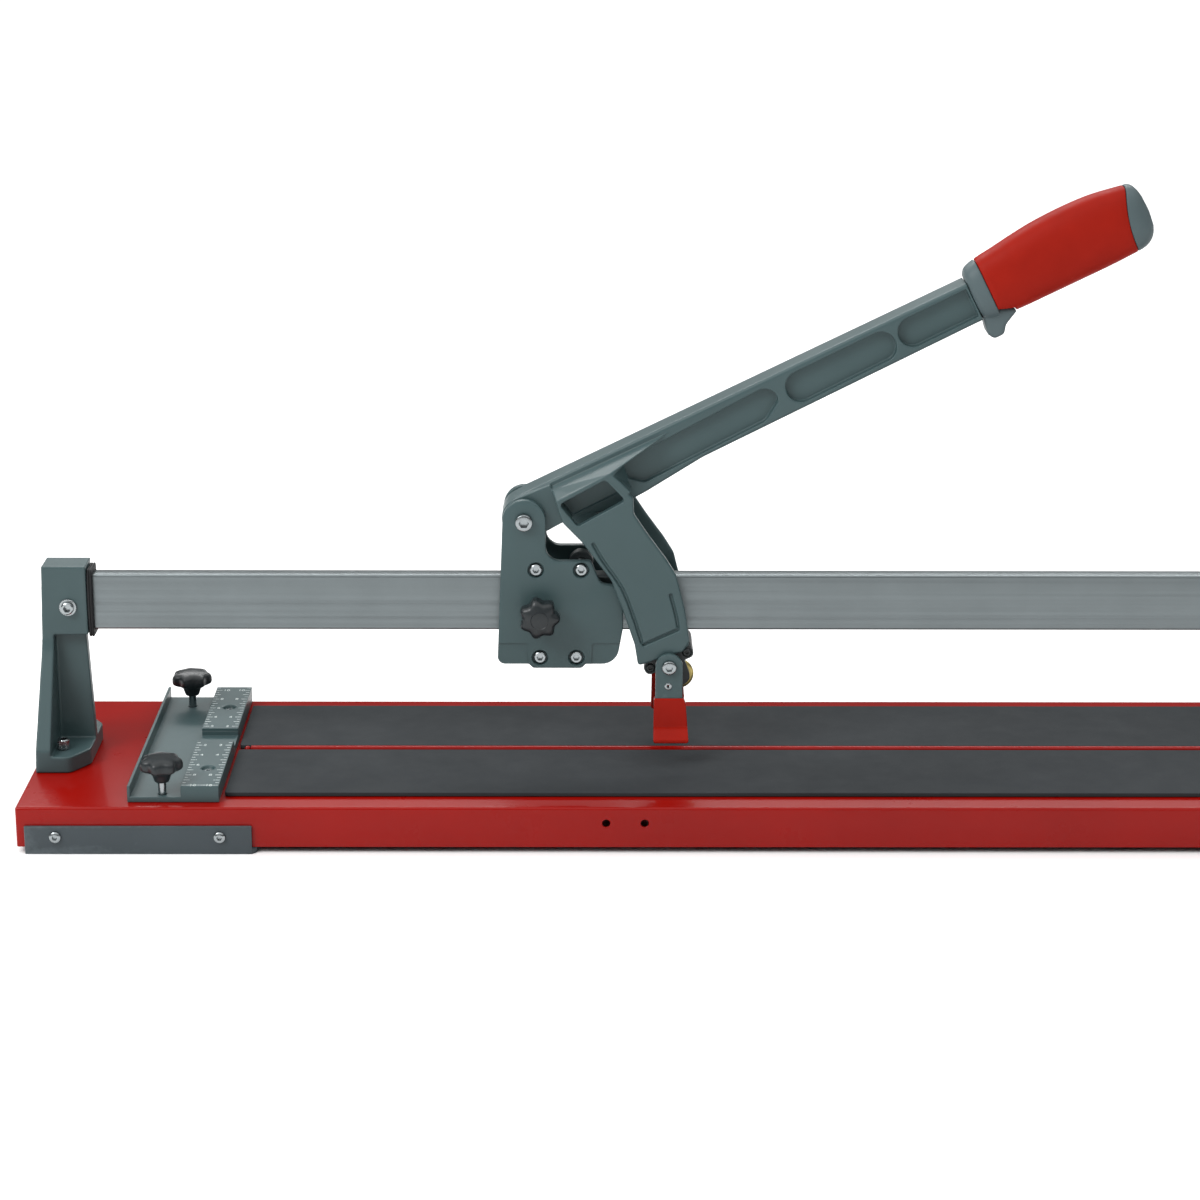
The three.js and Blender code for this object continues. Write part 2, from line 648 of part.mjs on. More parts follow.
function ballBearing(bearing, x) {
  const [ax, az] = at(x, bearing.axleZ + (bearing.lift ?? 0));
  const w = BEARING_HALF_WIDTH;
  const bore = runningBore(bearing.journal, BEARING_SIDES);
  const ring = [
    [bore, -w], [bearing.r - 0.5, -w], [bearing.r, -w + 0.5], [bearing.r, w - 0.5],
    [bearing.r - 0.5, w], [bore, w], [bore, -w],
  ];
  return turned(ring, "y", [ax, 0, az], BEARING_SIDES);
}

function pivotBolt() {
  const [px, pz] = at(0, 0);
  const out = PLATE_OUT + GAP;
  const profile = [
    [0, -out - 5], [5.4, -out - 5], [6.1, -out - 4.4], [6.1, -out], [PIVOT_R, -out], [PIVOT_R, out],
    [7, out], [7, out + 5], [0, out + 5],
  ];
  const socket = hexSocket(5.4, 6, "y", [px, -out - 5, pz]);
  return turned(profile, "y", [px, 0, pz], SHAFT_SIDES).subtract(socket);
}

// Closed-wound return spring beside the hub.
function returnSpring() {
  const [px, pz] = at(0, 0);
  const { wire, coilR, turns } = SPRING;
  const start = SPRING_SIDE + GAP + wire;
  const rise = PLATE_IN - GAP - wire - start;
  class Helix extends THREE.Curve {
    getPoint(t, target = new THREE.Vector3()) {
      const angle = t * turns * 2 * Math.PI;
      return target.set(coilR * Math.cos(angle), start + t * rise, coilR * Math.sin(angle));
    }
  }
  const section = new THREE.Shape();
  section.absarc(0, 0, wire, 0, 2 * Math.PI, false);
  const coil = new THREE.ExtrudeGeometry(section, {
    steps: 30,
    curveSegments: 3,
    bevelEnabled: false,
    extrudePath: new Helix(),
  });
  return toManifold(coil.translate(px, 0, pz));
}

function lockStud() {
  const [lx, lz] = at(LOCK.x, LOCK.z);
  return rod(LOCK.studR, -LOCK.studOut, -LOCK.studIn, lx, lz, 16);
}

function brakePad() {
  const [lx, lz] = at(LOCK.x, LOCK.z);
  const { r, out, inn, edge } = BRAKE_PAD;
  const profile = [[0, -out], [r - edge, -out], [r, -out + edge], [r, -inn], [0, -inn]];
  return turned(profile, "y", [lx, 0, lz], 20);
}

function lockKnob() {
  const [lx, lz] = at(LOCK.x, LOCK.z);
  const { r, neckR, neck, height, clearance } = LOCK_KNOB;
  const seat = -PLATE_OUT - clearance;
  const head = starHead(r, neckR, neck, height).rotate([90, 0, 0]).translate([lx, seat, lz]);
  return head.subtract(rod(LOCK.studR + GAP, -LOCK.studOut - GAP, -PLATE_OUT, lx, lz, 16));
}

// ---------- handle ----------
function armFrame(solid) {
  return solid.rotate([0, -THREE.MathUtils.radToDeg(ARM_ANGLE), 0]).translate([PIVOT.x, 0, PIVOT.z]);
}

function armPocket(points, side) {
  const floor = ARM_HALF_WIDTH - POCKET_DEPTH;
  const out = ARM_HALF_WIDTH + 1;
  return side < 0 ? slabY(rounded(points), -out, -floor, 4) : slabY(rounded(points), floor, out, 4);
}

// The lever: hub, tapering arm with three shallow pockets in each side, and the tang inside the grip.
function leverArm() {
  const beam = slabY(
    rounded([
      [0, -HUB_R, 0], [28, -16, 10], [58, -23, 8], [84, -22, 20], [130, -17.6, 30], [343, -17.3, 0],
      [343, 11, 0], [8, 15.5, 0], [0, HUB_R, 0],
    ]),
    -ARM_HALF_WIDTH,
    ARM_HALF_WIDTH,
    4,
  );
  const tang = block([342, TANG_END], [-7, 7], [-10, 8]);
  const wedge = [[77, 4.5, 6], [77, -8, 4], [86, -15.5, 4], [180, -14, 11], [197, -3, 9], [190, 8, 9]];
  const middle = [[201.5, -14, 10.5], [283.4, -13.6, 10.5], [283.4, 8, 10.5], [201.5, 8.2, 10.5]];
  const end = [[286.5, -13.5, 10.5], [339, -13.5, 1], [339, 7.6, 1], [286.5, 7.8, 10.5]];
  const pockets = [wedge, middle, end].flatMap((points) => [armPocket(points, -1), armPocket(points, 1)]);
  return armFrame(cut(beam.add(tang), ...pockets));
}

function hub() {
  const [px, pz] = at(0, 0);
  const wide = rod(HUB_R, -HUB_HALF_WIDTH, SPRING_SIDE, px, pz, 32);
  const cheek = armFrame(
    slabY(outline([[0, -HUB_R], [34, -14], [34, 15.1], [0, HUB_R]]), -HUB_HALF_WIDTH, SPRING_SIDE),
  );
  return wide.add(cheek);
}

// Outline of one leg wall, from the arm down past the rail.
function legWall(side) {
  const wall = rounded(
    placed([
      [21.6, 16.4, 1], [26.9, 0.6, 8], [40.1, -13.1, 10], [60.4, -40.4, 20], [68.6, -62.3, 20],
      [77, -87.3, 6], [79.5, -102.8, 2], [110.9, -92.4, 3], [115.6, -85, 2], [112, -62.2, 20],
      [105.6, -36.7, 10], [98.5, -25.2, 6], [85.4, -7.2, 8], [76, 7, 6], [75.6, 18, 3], [59.1, 36.1, 2],
    ]),
  );
  return slabY(wall, ...(side < 0 ? [-LEG_OUT, -LEG_IN] : [LEG_IN, LEG_OUT]), 4);
}

function legPanel(side) {
  const panel = rounded(
    placed([
      [47.5, -13.5, 2], [55, -26.5, 12], [68, -46, 12], [76.3, -67.5, 10], [82.6, -87.6, 2],
      [107.6, -76, 2], [105.6, -65.5, 8], [101.6, -48.7, 10], [88, -22, 8], [64, -4, 2],
    ]),
  );
  const [near, far] = [LEG_OUT - 1, LEG_OUT + PANEL];
  return side < 0 ? slabY(panel, -far, -near, 3) : slabY(panel, near, far, 3);
}

// Saddle that widens from the arm to the two leg walls, with sloping shoulders.
function saddle() {
  const w = LEG_OUT;
  const a = ARM_HALF_WIDTH;
  const side = slabY(outline([[26.6, -14], [88, -14], [88, 12], [26.6, 12]]), -w, w);
  const roof = slabX(outline([[-w, -30], [w, -30], [w, 4.9], [a, 10.5], [-a, 10.5], [-w, 4.9]]), 20, 100);
  const plan = slabZ(outline([[27, -w], [69, -w], [82, -a], [82, a], [69, w], [27, w]]), -30, 30);
  return armFrame(side.intersect(roof).intersect(plan));
}

function legWindow(side) {
  const opening = rounded(placed([[24.9, 14, 2], [56, 31.1, 2], [69.6, 16.9, 2], [37.4, -1.2, 2]]));
  const [near, far] = [ARM_HALF_WIDTH + 1, LEG_OUT + 5];
  return side < 0 ? slabY(opening, -far, -near, 3) : slabY(opening, near, far, 3);
}

function bottomBlock() {
  const shape = placed([
    [86, -86.3], [80.5, -101.5], [81.5, -102.2], [110.6, -92.3], [115, -87.5], [114.8, -86.3],
  ]);
  return slabY(outline(shape), -LEG_OUT + 1, LEG_OUT - 1);
}

// Unit directions at the foot pivot: along the leg (down and right) and across it.
function legPoint(across, along) {
  const c = Math.cos(LEG_TILT);
  const s = Math.sin(LEG_TILT);
  return at(FOOT.x + across * c + along * s, FOOT.z + across * s - along * c);
}

function legShape(points) {
  return rounded(points.map(([across, along, r]) => [...legPoint(across, along), r]));
}

function handleCasting() {
  const [px, pz] = at(0, 0);
  const w = HUB_HALF_WIDTH;
  const bore = rod(runningBore(PIVOT_R, SHAFT_SIDES), -w - 1, w + 1, px, pz, SHAFT_SIDES);
  const slot = slabY(legShape([[-10.3, -3], [10.3, -3], [10.3, -12.4], [-10.3, -12.4]]), -6.3, 6.3);
  const springRoom = rod(HUB_R + 1, SPRING_SIDE, w + 2, px, pz, 32);
  const legs = fuse(legWall(-1), legWall(1), legPanel(-1), legPanel(1), bottomBlock());
  const body = fuse(cut(leverArm(), springRoom), hub(), saddle(), legs);
  return cut(body, bore, slot, legWindow(-1), legWindow(1), carriageSweep());
}

// Space that the carriage's ears and plates need beside the hub while the handle turns.
function carriageSweep() {
  const [px, pz] = at(0, 0);
  const front = rod(EAR_R + 1.2, -PLATE_OUT - 0.4, -HUB_HALF_WIDTH - 0.2, px, pz, 32);
  return front.add(mirroredY(front));
}

// ---------- grip ----------
function gripOval(u, v0, v1, halfWidth) {
  return { u, v: (v0 + v1) / 2, h: (v1 - v0) / 2, w: halfWidth };
}

// Loft of oval sections along the arm, closed at both ends.
function loft(sections, around) {
  const positions = [];
  const index = [];
  sections.forEach(({ u, v, h, w }) => {
    for (let i = 0; i < around; i += 1) {
      const angle = (i / around) * 2 * Math.PI;
      const c = Math.cos(angle);
      const s = Math.sin(angle);
      const soft = 0.78;
      positions.push(u, w * Math.sign(c) * Math.abs(c) ** soft, v + h * Math.sign(s) * Math.abs(s) ** soft);
    }
  });
  for (let k = 0; k < sections.length - 1; k += 1) {
    for (let i = 0; i < around; i += 1) {
      const a = k * around + i;
      const b = k * around + ((i + 1) % around);
      index.push(a, b, b + around, a, b + around, a + around);
    }
  }
  const last = (sections.length - 1) * around;
  for (let i = 1; i < around - 1; i += 1) {
    index.push(0, i + 1, i);
    index.push(last, last + i, last + i + 1);
  }
  const geometry = new THREE.BufferGeometry();
  geometry.setAttribute("position", new THREE.Float32BufferAttribute(positions, 3));
  geometry.setIndex(index);
  const solid = toManifold(geometry);
  return solid.volume() > 0 ? solid : solid.mirror([0, 1, 0]);
}

function gripSleeve() {
  const body = loft(
    [
      gripOval(355.2, -21.5, 20.9, 16.6), gripOval(370, -23, 22.8, 17.4), gripOval(390, -23.3, 25.2, 18.2),
      gripOval(415, -23.6, 26.7, 18.6), gripOval(440, -23.8, 25.8, 18), gripOval(455.5, -23.8, 24, 17),
    ],
    28,
  );
  const core = block([300, 500], [-LINER_HALF_WIDTH - GAP, LINER_HALF_WIDTH + GAP], [-13.3, 11.3]);
  const beside = outline([[350, -14.6], [355.2, -14.6], [366.4, -19.2], [366.4, -26], [350, -26]]);
  const hornRoom = slabY(beside, -20, 20);
  return armFrame(cut(body, core, hornRoom));
}

// Hard core of the grip: collar with a finger guard, liner under the sleeve, and the end cap.
function gripCore() {
  const w = LINER_HALF_WIDTH;
  const collar = loft(
    [
      gripOval(343.3, -17.4, 15.4, 14.2),
      gripOval(346.5, -19.5, 18.4, 16),
      gripOval(354.9, -21.5, 20.9, 16.6),
    ],
    28,
  );
  const horn = slabY(
    rounded([
      [343.3, -12, 0], [343.3, -18, 0], [341.6, -28.5, 3], [344.4, -33.6, 3], [352, -33.6, 3], [356, -28, 4],
      [366, -23, 1], [366, -19.5, 0], [354.9, -15, 0], [354.9, -12, 0],
    ]),
    -w,
    w,
    4,
  );
  const liner = block([354, 456.5], [-w, w], [-13, 11]);
  const cap = loft(
    [
      gripOval(455.8, -23.8, 24, 17), gripOval(467, -22.6, 22, 15.8), gripOval(472, -19.5, 17.2, 12.6),
      gripOval(474.6, -13, 10.5, 8), gripOval(475.2, -8, 6, 6),
    ],
    28,
  );
  const bore = block([300, TANG_END + GAP], [-7.3, 7.3], [-10.3, 8.3]);
  return armFrame(fuse(collar, horn, liner, cap).subtract(bore));
}

// ---------- scoring and breaking head ----------
function wheelHolder() {
  const tip = WHEEL_FROM_FOOT + 7.5;
  const halfSlot = 1.7;
  const halfNeck = 6;
  const bar = legShape([[-18.5, -4.4, 4], [18.5, -4.4, 4], [18.5, 4.6, 4], [-18.5, 4.6, 4]]);
  const head = slabY(bar, -20, 20, 4);
  const tongue = slabY(legShape([[-10, 0], [10, 0], [10, -11.9], [-10, -11.9]]), -halfNeck, halfNeck);
  const neck = slabY(legShape([[-9.5, 0], [9.5, 0], [7.5, tip, 7], [-7.5, tip, 7]]), -halfNeck, halfNeck, 5);
  const [wx, wz] = legPoint(0, WHEEL_FROM_FOOT);
  const slot = rod(WHEEL_R + 0.7, -halfSlot, halfSlot, wx, wz, 28);
  const mouth = legShape([[-10, WHEEL_FROM_FOOT], [10, WHEEL_FROM_FOOT], [12, 40], [-12, 40]]);
  const slotMouth = slabY(mouth, -halfSlot, halfSlot);
  const axleHole = rod(WHEEL_AXLE_R + GAP, -7, 7, wx, wz, 12);
  const [fx, fz] = at(FOOT.x, FOOT.z);
  const pivotHole = rod(runningBore(FOOT_PIVOT_R, SHAFT_SIDES), -21, 21, fx, fz, SHAFT_SIDES);
  const pinHoles = HOLDER_PINS.map((across) => rod(HOLDER_PIN_R + GAP, -21, 21, ...legPoint(across, 0), 16));
  return cut(fuse(head, tongue, neck), slot, slotMouth, axleHole, pivotHole, ...pinHoles);
}

function holderPin(across) {
  const [x, z] = legPoint(across, 0);
  return rod(HOLDER_PIN_R, -20.6, 20.6, x, z, 16).subtract(hexSocket(2.6, 3, "y", [x, -20.6, z]));
}

function wheelAxle() {
  const [wx, wz] = legPoint(0, WHEEL_FROM_FOOT);
  return rod(WHEEL_AXLE_R, -6.2, 6.2, wx, wz, SHAFT_SIDES);
}

// Hardened scoring wheel: a thin disc with a V-shaped rim.
function scoringWheel() {
  const [wx, wz] = legPoint(0, WHEEL_FROM_FOOT);
  const bore = runningBore(WHEEL_AXLE_R, SHAFT_SIDES);
  const bevel = WHEEL_R - 1.6;
  const disc = [
    [bore, -1.3], [bevel, -1.3], [WHEEL_R, -0.1], [WHEEL_R, 0.1], [bevel, 1.3], [bore, 1.3], [bore, -1.3],
  ];
  return turned(disc, "y", [wx, 0, wz], SHAFT_SIDES);
}

function footLink() {
  const [fx, fz] = at(FOOT.x, FOOT.z);
  const half = FOOT.r;
  const bar = slabY(
    outline([[fx - half, fz], [fx - half, fz - LINK_LENGTH], [fx + half, fz - LINK_LENGTH], [fx + half, fz]]),
    -FOOT_OUT,
    -FOOT_IN,
  );
  const head = rod(half, -FOOT_OUT, -FOOT_IN, fx, fz, 28);
  const pivotHole = rod(LINK_PIVOT_HOLE_R, -FOOT_OUT - 1, -FOOT_IN + 1, fx, fz, 18);
  const [rivetX, rivetZ] = [fx + RIVET.x, fz + RIVET.z];
  const rivetHole = rod(RIVET.holeR, -FOOT_OUT - 1, -FOOT_IN + 1, rivetX, rivetZ, 14);
  return cut(bar.add(head), pivotHole, rivetHole);
}

// Dipped red shoe over the lower half of a link, flared and turned out at the bottom.
function footShoe() {
  const [fx, fz] = at(FOOT.x, FOOT.z);
  const top = fz - SHOE.top;
  const low = fz - SHOE.bottom;
  const side = rounded([
    [fx - 10.4, top, 1], [fx - 10.8, low, 2], [fx + 14, low, 2], [fx + 11.8, top - 4, 4], [fx + 10.2, top, 1],
  ]);
  const out = -FOOT_OUT - SHOE.skin;
  const toe = -FOOT_OUT - SHOE.toe;
  const section = rounded([
    [out, top, 1], [out, low + 10, 4], [toe, low + 2, 2], [toe, low, 1], [-FOOT_IN + 1, low, 1],
    [-FOOT_IN + 1, top, 0.5],
  ]);
  const shoe = slabY(side, -FOOT_OUT - 8, -FOOT_IN + 2, 4).intersect(slabX(section, fx - 20, fx + 20, 4));
  const half = FOOT.r + GAP;
  const floor = fz - LINK_LENGTH - GAP;
  const slot = block([fx - half, fx + half], [-FOOT_OUT - GAP, -FOOT_IN + GAP], [floor, top + 1]);
  return shoe.subtract(slot);
}

function footRivet() {
  const [fx, fz] = at(FOOT.x, FOOT.z);
  const { r, headR, bore } = RIVET;
  const seat = -FOOT_OUT - 0.1;
  const face = -FOOT_OUT - 0.6;
  const profile = [
    [bore, face], [headR, face], [headR, seat], [r, seat], [r, -FOOT_IN], [bore, -FOOT_IN], [bore, face],
  ];
  return turned(profile, "y", [fx + RIVET.x, 0, fz + RIVET.z], 16);
}

function footPivotBolt() {
  const [fx, fz] = at(FOOT.x, FOOT.z);
  const out = FOOT_OUT + 0.1;
  const inn = FOOT_IN - 0.1;
  const r = FOOT_PIVOT_R;
  const head = 5.1;
  const profile = [
    [0, -out - 3], [head - 0.6, -out - 3], [head, -out - 2.4], [head, -out], [r, -out], [r, -inn], [5, -inn],
    [5, -20.3], [r, -20.3], [r, 20.3], [5, 20.3], [5, inn], [r, inn], [r, out], [head, out],
    [head, out + 3], [0, out + 3],
  ];
  const socket = hexSocket(4, 4, "y", [fx, -out - 3, fz]);
  return turned(profile, "y", [fx, 0, fz], SHAFT_SIDES).subtract(socket);
}

// ---------- finishes ----------
const FINISH = {
  red: { color: "#a01a12", roughness: 0.32, metalness: 0.1 },
  grey: { color: "#4a5c5e", roughness: 0.5, metalness: 0.25 },
  bracket: { color: "#474f54", roughness: 0.5, metalness: 0.25 },
  steel: { color: "#c8cccc", roughness: 0.28, metalness: 1 },
  rail: { color: "#9aa4a8", roughness: 0.35, metalness: 1 },
  dark: { color: "#1f2426", roughness: 0.45, metalness: 0.6 },
  mat: { color: "#3c4043", roughness: 0.9, metalness: 0 },
  black: { color: "#17191a", roughness: 0.55, metalness: 0 },
  gripRed: { color: "#a32018", roughness: 0.55, metalness: 0 },
  gripGrey: { color: "#55626a", roughness: 0.6, metalness: 0 },
  gold: { color: "#b8993c", roughness: 0.3, metalness: 1 },
};

const group = new THREE.Group();
group.name = "tile_cutter";

function piece(name, solid, finish) {
  const mesh = new THREE.Mesh(toGeometry(solid), new THREE.MeshStandardMaterial(FINISH[finish]));
  mesh.name = name;
  group.add(mesh);
}

// ---------- assembly ----------
piece("base_pan", basePan(), "red");
piece("base_stiffener", baseStiffener(), "steel");
piece("mat_front", mat(-1), "mat");
piece("mat_rear", mat(1), "mat");
piece("breaking_ridge", breakingRidge(), "red");
piece("foot_bracket_left", footBracket(), "bracket");
piece("foot_bracket_right", mirroredX(footBracket()), "bracket");
for (const [end, sign] of [["left", -1], ["right", 1]]) {
  for (const [row, side] of [["front", -1], ["rear", 1]]) {
    BRACKET_SCREW_IN[row].forEach((distance, i) => {
      const x = sign * (HALF_LENGTH - distance);
      piece(`bracket_screw_${end}_${row}_${i + 1}`, bracketScrew(x, side), "steel");
    });
    const bolt = supportBolt(sign * SUPPORT_BOLT[0], side * SUPPORT_BOLT[1]);
    piece(`support_bolt_${end}_${row}`, bolt, "steel");
  }
}
piece("rail", rail(), "rail");
piece("end_support_left", endSupport(), "grey");
piece("end_support_right", mirroredX(endSupport()), "grey");
piece("rail_grommet_left", railGrommet(), "black");
piece("rail_grommet_right", mirroredX(railGrommet()), "black");
piece("rail_clamp_bolt_left", railClampBolt(), "steel");
piece("rail_clamp_bolt_right", mirroredX(railClampBolt()), "steel");
piece("fence_profile", fence(), "grey");
["front", "rear"].forEach((row, i) => {
  piece(`fence_screw_${row}`, fenceScrew(FENCE_SCREW_Y[i]), "steel");
  piece(`fence_knob_${row}`, fenceKnob(FENCE_KNOBS[i]), "black");
  piece(`fence_stud_${row}`, fenceStud(FENCE_KNOBS[i]), "steel");
});
piece("carriage_plate_front", carriagePlateFront(), "grey");
piece("carriage_plate_rear", mirroredY(carriagePlate()), "grey");
["left", "right"].forEach((end, i) => {
  piece(`upper_axle_${end}`, bearingAxle(UPPER_BEARING, UPPER_BEARING.axleX[i]), "steel");
  piece(`upper_bearing_${end}`, ballBearing(UPPER_BEARING, UPPER_BEARING.axleX[i]), "steel");
  piece(`lower_axle_${end}`, bearingAxle(LOWER_BEARING, LOWER_BEARING.axleX[i]), "steel");
  piece(`lower_bearing_${end}`, ballBearing(LOWER_BEARING, LOWER_BEARING.axleX[i]), "steel");
});
piece("pivot_bolt", pivotBolt(), "steel");
piece("return_spring", returnSpring(), "steel");
piece("lock_stud", lockStud(), "steel");
piece("brake_pad", brakePad(), "black");
piece("lock_knob", lockKnob(), "black");
piece("handle_casting", handleCasting(), "grey");
piece("grip_core", gripCore(), "gripGrey");
piece("grip_sleeve", gripSleeve(), "gripRed");
piece("wheel_holder", wheelHolder(), "dark");
["left", "right"].forEach((end, i) => piece(`holder_pin_${end}`, holderPin(HOLDER_PINS[i]), "dark"));
piece("wheel_axle", wheelAxle(), "steel");
piece("scoring_wheel", scoringWheel(), "gold");
piece("foot_link_front", footLink(), "grey");
piece("foot_link_rear", mirroredY(footLink()), "grey");
piece("foot_shoe_front", footShoe(), "gripRed");
piece("foot_shoe_rear", mirroredY(footShoe()), "gripRed");
piece("foot_rivet", footRivet(), "steel");
piece("foot_pivot_bolt", footPivotBolt(), "steel");

export default group;
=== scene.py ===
import itertools
import json
import math

import bmesh
import bpy
from mathutils import Matrix, Vector


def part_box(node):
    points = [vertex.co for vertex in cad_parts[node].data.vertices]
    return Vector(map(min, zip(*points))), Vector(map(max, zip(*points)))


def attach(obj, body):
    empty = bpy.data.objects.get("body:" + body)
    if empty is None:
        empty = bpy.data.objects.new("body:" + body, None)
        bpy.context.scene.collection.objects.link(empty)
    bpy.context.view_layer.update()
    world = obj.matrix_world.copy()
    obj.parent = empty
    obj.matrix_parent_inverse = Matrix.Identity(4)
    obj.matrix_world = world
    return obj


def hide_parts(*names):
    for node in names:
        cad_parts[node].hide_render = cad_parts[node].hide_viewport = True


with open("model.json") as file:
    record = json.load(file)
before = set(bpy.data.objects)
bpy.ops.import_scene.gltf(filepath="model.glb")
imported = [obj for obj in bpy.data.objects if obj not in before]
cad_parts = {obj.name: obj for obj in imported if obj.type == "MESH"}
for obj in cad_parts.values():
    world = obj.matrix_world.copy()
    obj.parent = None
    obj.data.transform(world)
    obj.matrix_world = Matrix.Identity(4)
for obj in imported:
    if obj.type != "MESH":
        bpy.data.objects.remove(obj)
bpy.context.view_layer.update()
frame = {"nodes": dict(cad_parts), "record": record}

# Lengths below are millimetres, in the frame's own axes; MM turns them into Blender's metres.
MM = 0.001
FINE = 64
HEX = 6


def box_of(node):
    """Lowest and highest corner of a CAD node, in millimetres."""
    low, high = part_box(node)
    return Vector(low) / MM, Vector(high) / MM


def centre_of(node):
    low, high = box_of(node)
    return (low + high) / 2


def copies(pattern, *choices):
    """Each copy of a repeated piece: its node, its lowest and highest corner, and its centre."""
    for names in itertools.product(*choices):
        node = pattern.format(*names)
        yield (node, *box_of(node), centre_of(node))


# ---------- mesh helpers ----------
def corner_arc(before, here, after, radius, steps):
    back = (before - here).normalized()
    on = (after - here).normalized()
    half = math.acos(max(-1, min(1, back.dot(on)))) / 2
    run = min(radius / math.tan(half), 0.49 * min((before - here).length, (after - here).length))
    centre = here + (back + on).normalized() * (run / math.cos(half))
    start = here + back * run - centre
    end = here + on * run - centre
    sweep = start.angle_signed(end)
    return [centre + Matrix.Rotation(-sweep * k / steps, 2) @ start for k in range(steps + 1)]


def rounded(points, steps=6):
    """Outline whose corners [a, b, radius] are arcs."""
    result = []
    for i, point in enumerate(points):
        here = Vector(point[:2])
        radius = point[2] if len(point) > 2 else 0
        if radius <= 0:
            result.append(here)
            continue
        before = Vector(points[i - 1][:2])
        after = Vector(points[(i + 1) % len(points)][:2])
        result.extend(corner_arc(before, here, after, radius, steps))
    return result


def rectangle(a, b, radius=0, steps=6):
    """Outline between two pairs of limits, with equal corners."""
    corners = ((a[0], b[0]), (a[1], b[0]), (a[1], b[1]), (a[0], b[1]))
    return rounded([(*corner, radius) for corner in corners], steps)


def circle(a, b, radius, sides=FINE):
    turn = 2 * math.pi / sides
    return [Vector((a + radius * math.cos(i * turn), b + radius * math.sin(i * turn))) for i in range(sides)]


def toothed(outer, inner, teeth):
    """Outline that steps between two radii."""
    turn = math.pi / teeth
    radii = [outer if i % 2 else inner for i in range(2 * teeth)]
    return [Vector((r * math.cos(turn * i), r * math.sin(turn * i))) for i, r in enumerate(radii)]


# Where a point of a flat outline goes when the outline is pushed along an axis to the place s.
AXES = {
    "x": lambda p, s: (s, p[0], p[1]),
    "y": lambda p, s: (p[0], s, p[1]),
    "z": lambda p, s: (p[0], p[1], s),
}


def close_mesh(bm, name):
    bmesh.ops.recalc_face_normals(bm, faces=bm.faces)
    mesh = bpy.data.meshes.new(name)
    bm.to_mesh(mesh)
    bm.free()
    return mesh


def prism(outline, axis, start, end):
    """Closed mesh of an outline pushed along one axis."""
    bm = bmesh.new()
    place = AXES[axis]
    near = [bm.verts.new(place(p, start)) for p in outline]
    far = [bm.verts.new(place(p, end)) for p in outline]
    bm.faces.new(near[::-1])
    bm.faces.new(far)
    for i in range(len(near)):
        j = (i + 1) % len(near)
        bm.faces.new((near[i], near[j], far[j], far[i]))
    return close_mesh(bm, "prism")


def inset(outline, distance):
    """Outline moved inwards by a distance, corner by corner."""
    points = [Vector(p) for p in outline]
    area = sum(a.x * b.y - b.x * a.y for a, b in zip(points, points[1:] + points[:1]))
    inward = math.copysign(distance, area)
    result = []
    for i, here in enumerate(points):
        into = (here - points[i - 1]).normalized()
        away = (points[(i + 1) % len(points)] - here).normalized()
        middle = (into + away).normalized()
        reach = inward / max(0.5, middle.dot(into))
        result.append(here + Vector((-middle.y, middle.x)) * reach)
    return result


def plate(outline, axis, start, end, edge, steps=3):
    """Prism whose two rims are rounded over."""
    arc = [math.pi / 2 * k / steps for k in range(steps + 1)]
    near = [(edge * (1 - math.sin(a)), start + edge * (1 - math.cos(a))) for a in arc]
    far = [(edge * (1 - math.sin(a)), end - edge * (1 - math.cos(a))) for a in arc]
    return loft([[AXES[axis](p, along) for p in inset(outline, depth)] for depth, along in near + far[::-1]])


def slab(x, y, z):
    return prism(rectangle(x, y), "z", *z)


def lathe(profile, axis, centre, sides=FINE):
    """Closed solid of revolution: profile points are (radius, place along the axis)."""
    bm = bmesh.new()
    rings = []
    for radius, along in profile:
        if radius <= 1e-6:
            rings.append([bm.verts.new(AXES[axis]((0, 0), along))])
        else:
            rings.append([bm.verts.new(AXES[axis](p, along)) for p in circle(0, 0, radius, sides)])
    closed = profile[0][0] > 1e-6
    pairs = list(zip(rings, rings[1:])) + ([(rings[-1], rings[0])] if closed else [])
    for one, two in pairs:
        for i in range(sides):
            j = (i + 1) % sides
            corners = [one[i % len(one)], one[j % len(one)], two[j % len(two)], two[i % len(two)]]
            unique = list(dict.fromkeys(corners))
            if len(unique) > 2:
                bm.faces.new(unique)
    bmesh.ops.translate(bm, verts=bm.verts, vec=centre)
    return close_mesh(bm, "lathe")


def rod(radius, start, end, axis, centre, sides=48):
    """Plain round bar along an axis, used as a solid or to drill a hole."""
    return lathe([(0, start), (radius, start), (radius, end), (0, end)], axis, centre, sides)


def pin(radius, start, end, chamfer, centre, sides=48):
    """Round pin along Y, chamfered at both ends."""
    tip = radius - chamfer
    profile = [(0, start), (tip, start), (radius, start + chamfer), (radius, end - chamfer), (tip, end),
               (0, end)]
    return lathe(profile, "y", centre, sides)


def both_ways(half):
    """Lathe profile from its half above zero, given from the end inwards."""
    return [(radius, -along) for radius, along in half] + half[::-1]


def loft(sections):
    """Closed skin over rings of equal length; each ring is a list of points."""
    bm = bmesh.new()
    rings = [[bm.verts.new(p) for p in ring] for ring in sections]
    count = len(rings[0])
    for one, two in zip(rings, rings[1:]):
        for i in range(count):
            j = (i + 1) % count
            bm.faces.new((one[i], one[j], two[j], two[i]))
    bm.faces.new(rings[0][::-1])
    bm.faces.new(rings[-1])
    return close_mesh(bm, "loft")


def evaluated(obj):
    """Mesh of an object with its modifiers applied; the object is thrown away."""
    bpy.context.view_layer.update()
    graph = bpy.context.evaluated_depsgraph_get()
    mesh = bpy.data.meshes.new_from_object(obj.evaluated_get(graph))
    mesh.materials.clear()
    bpy.data.objects.remove(obj)
    return mesh


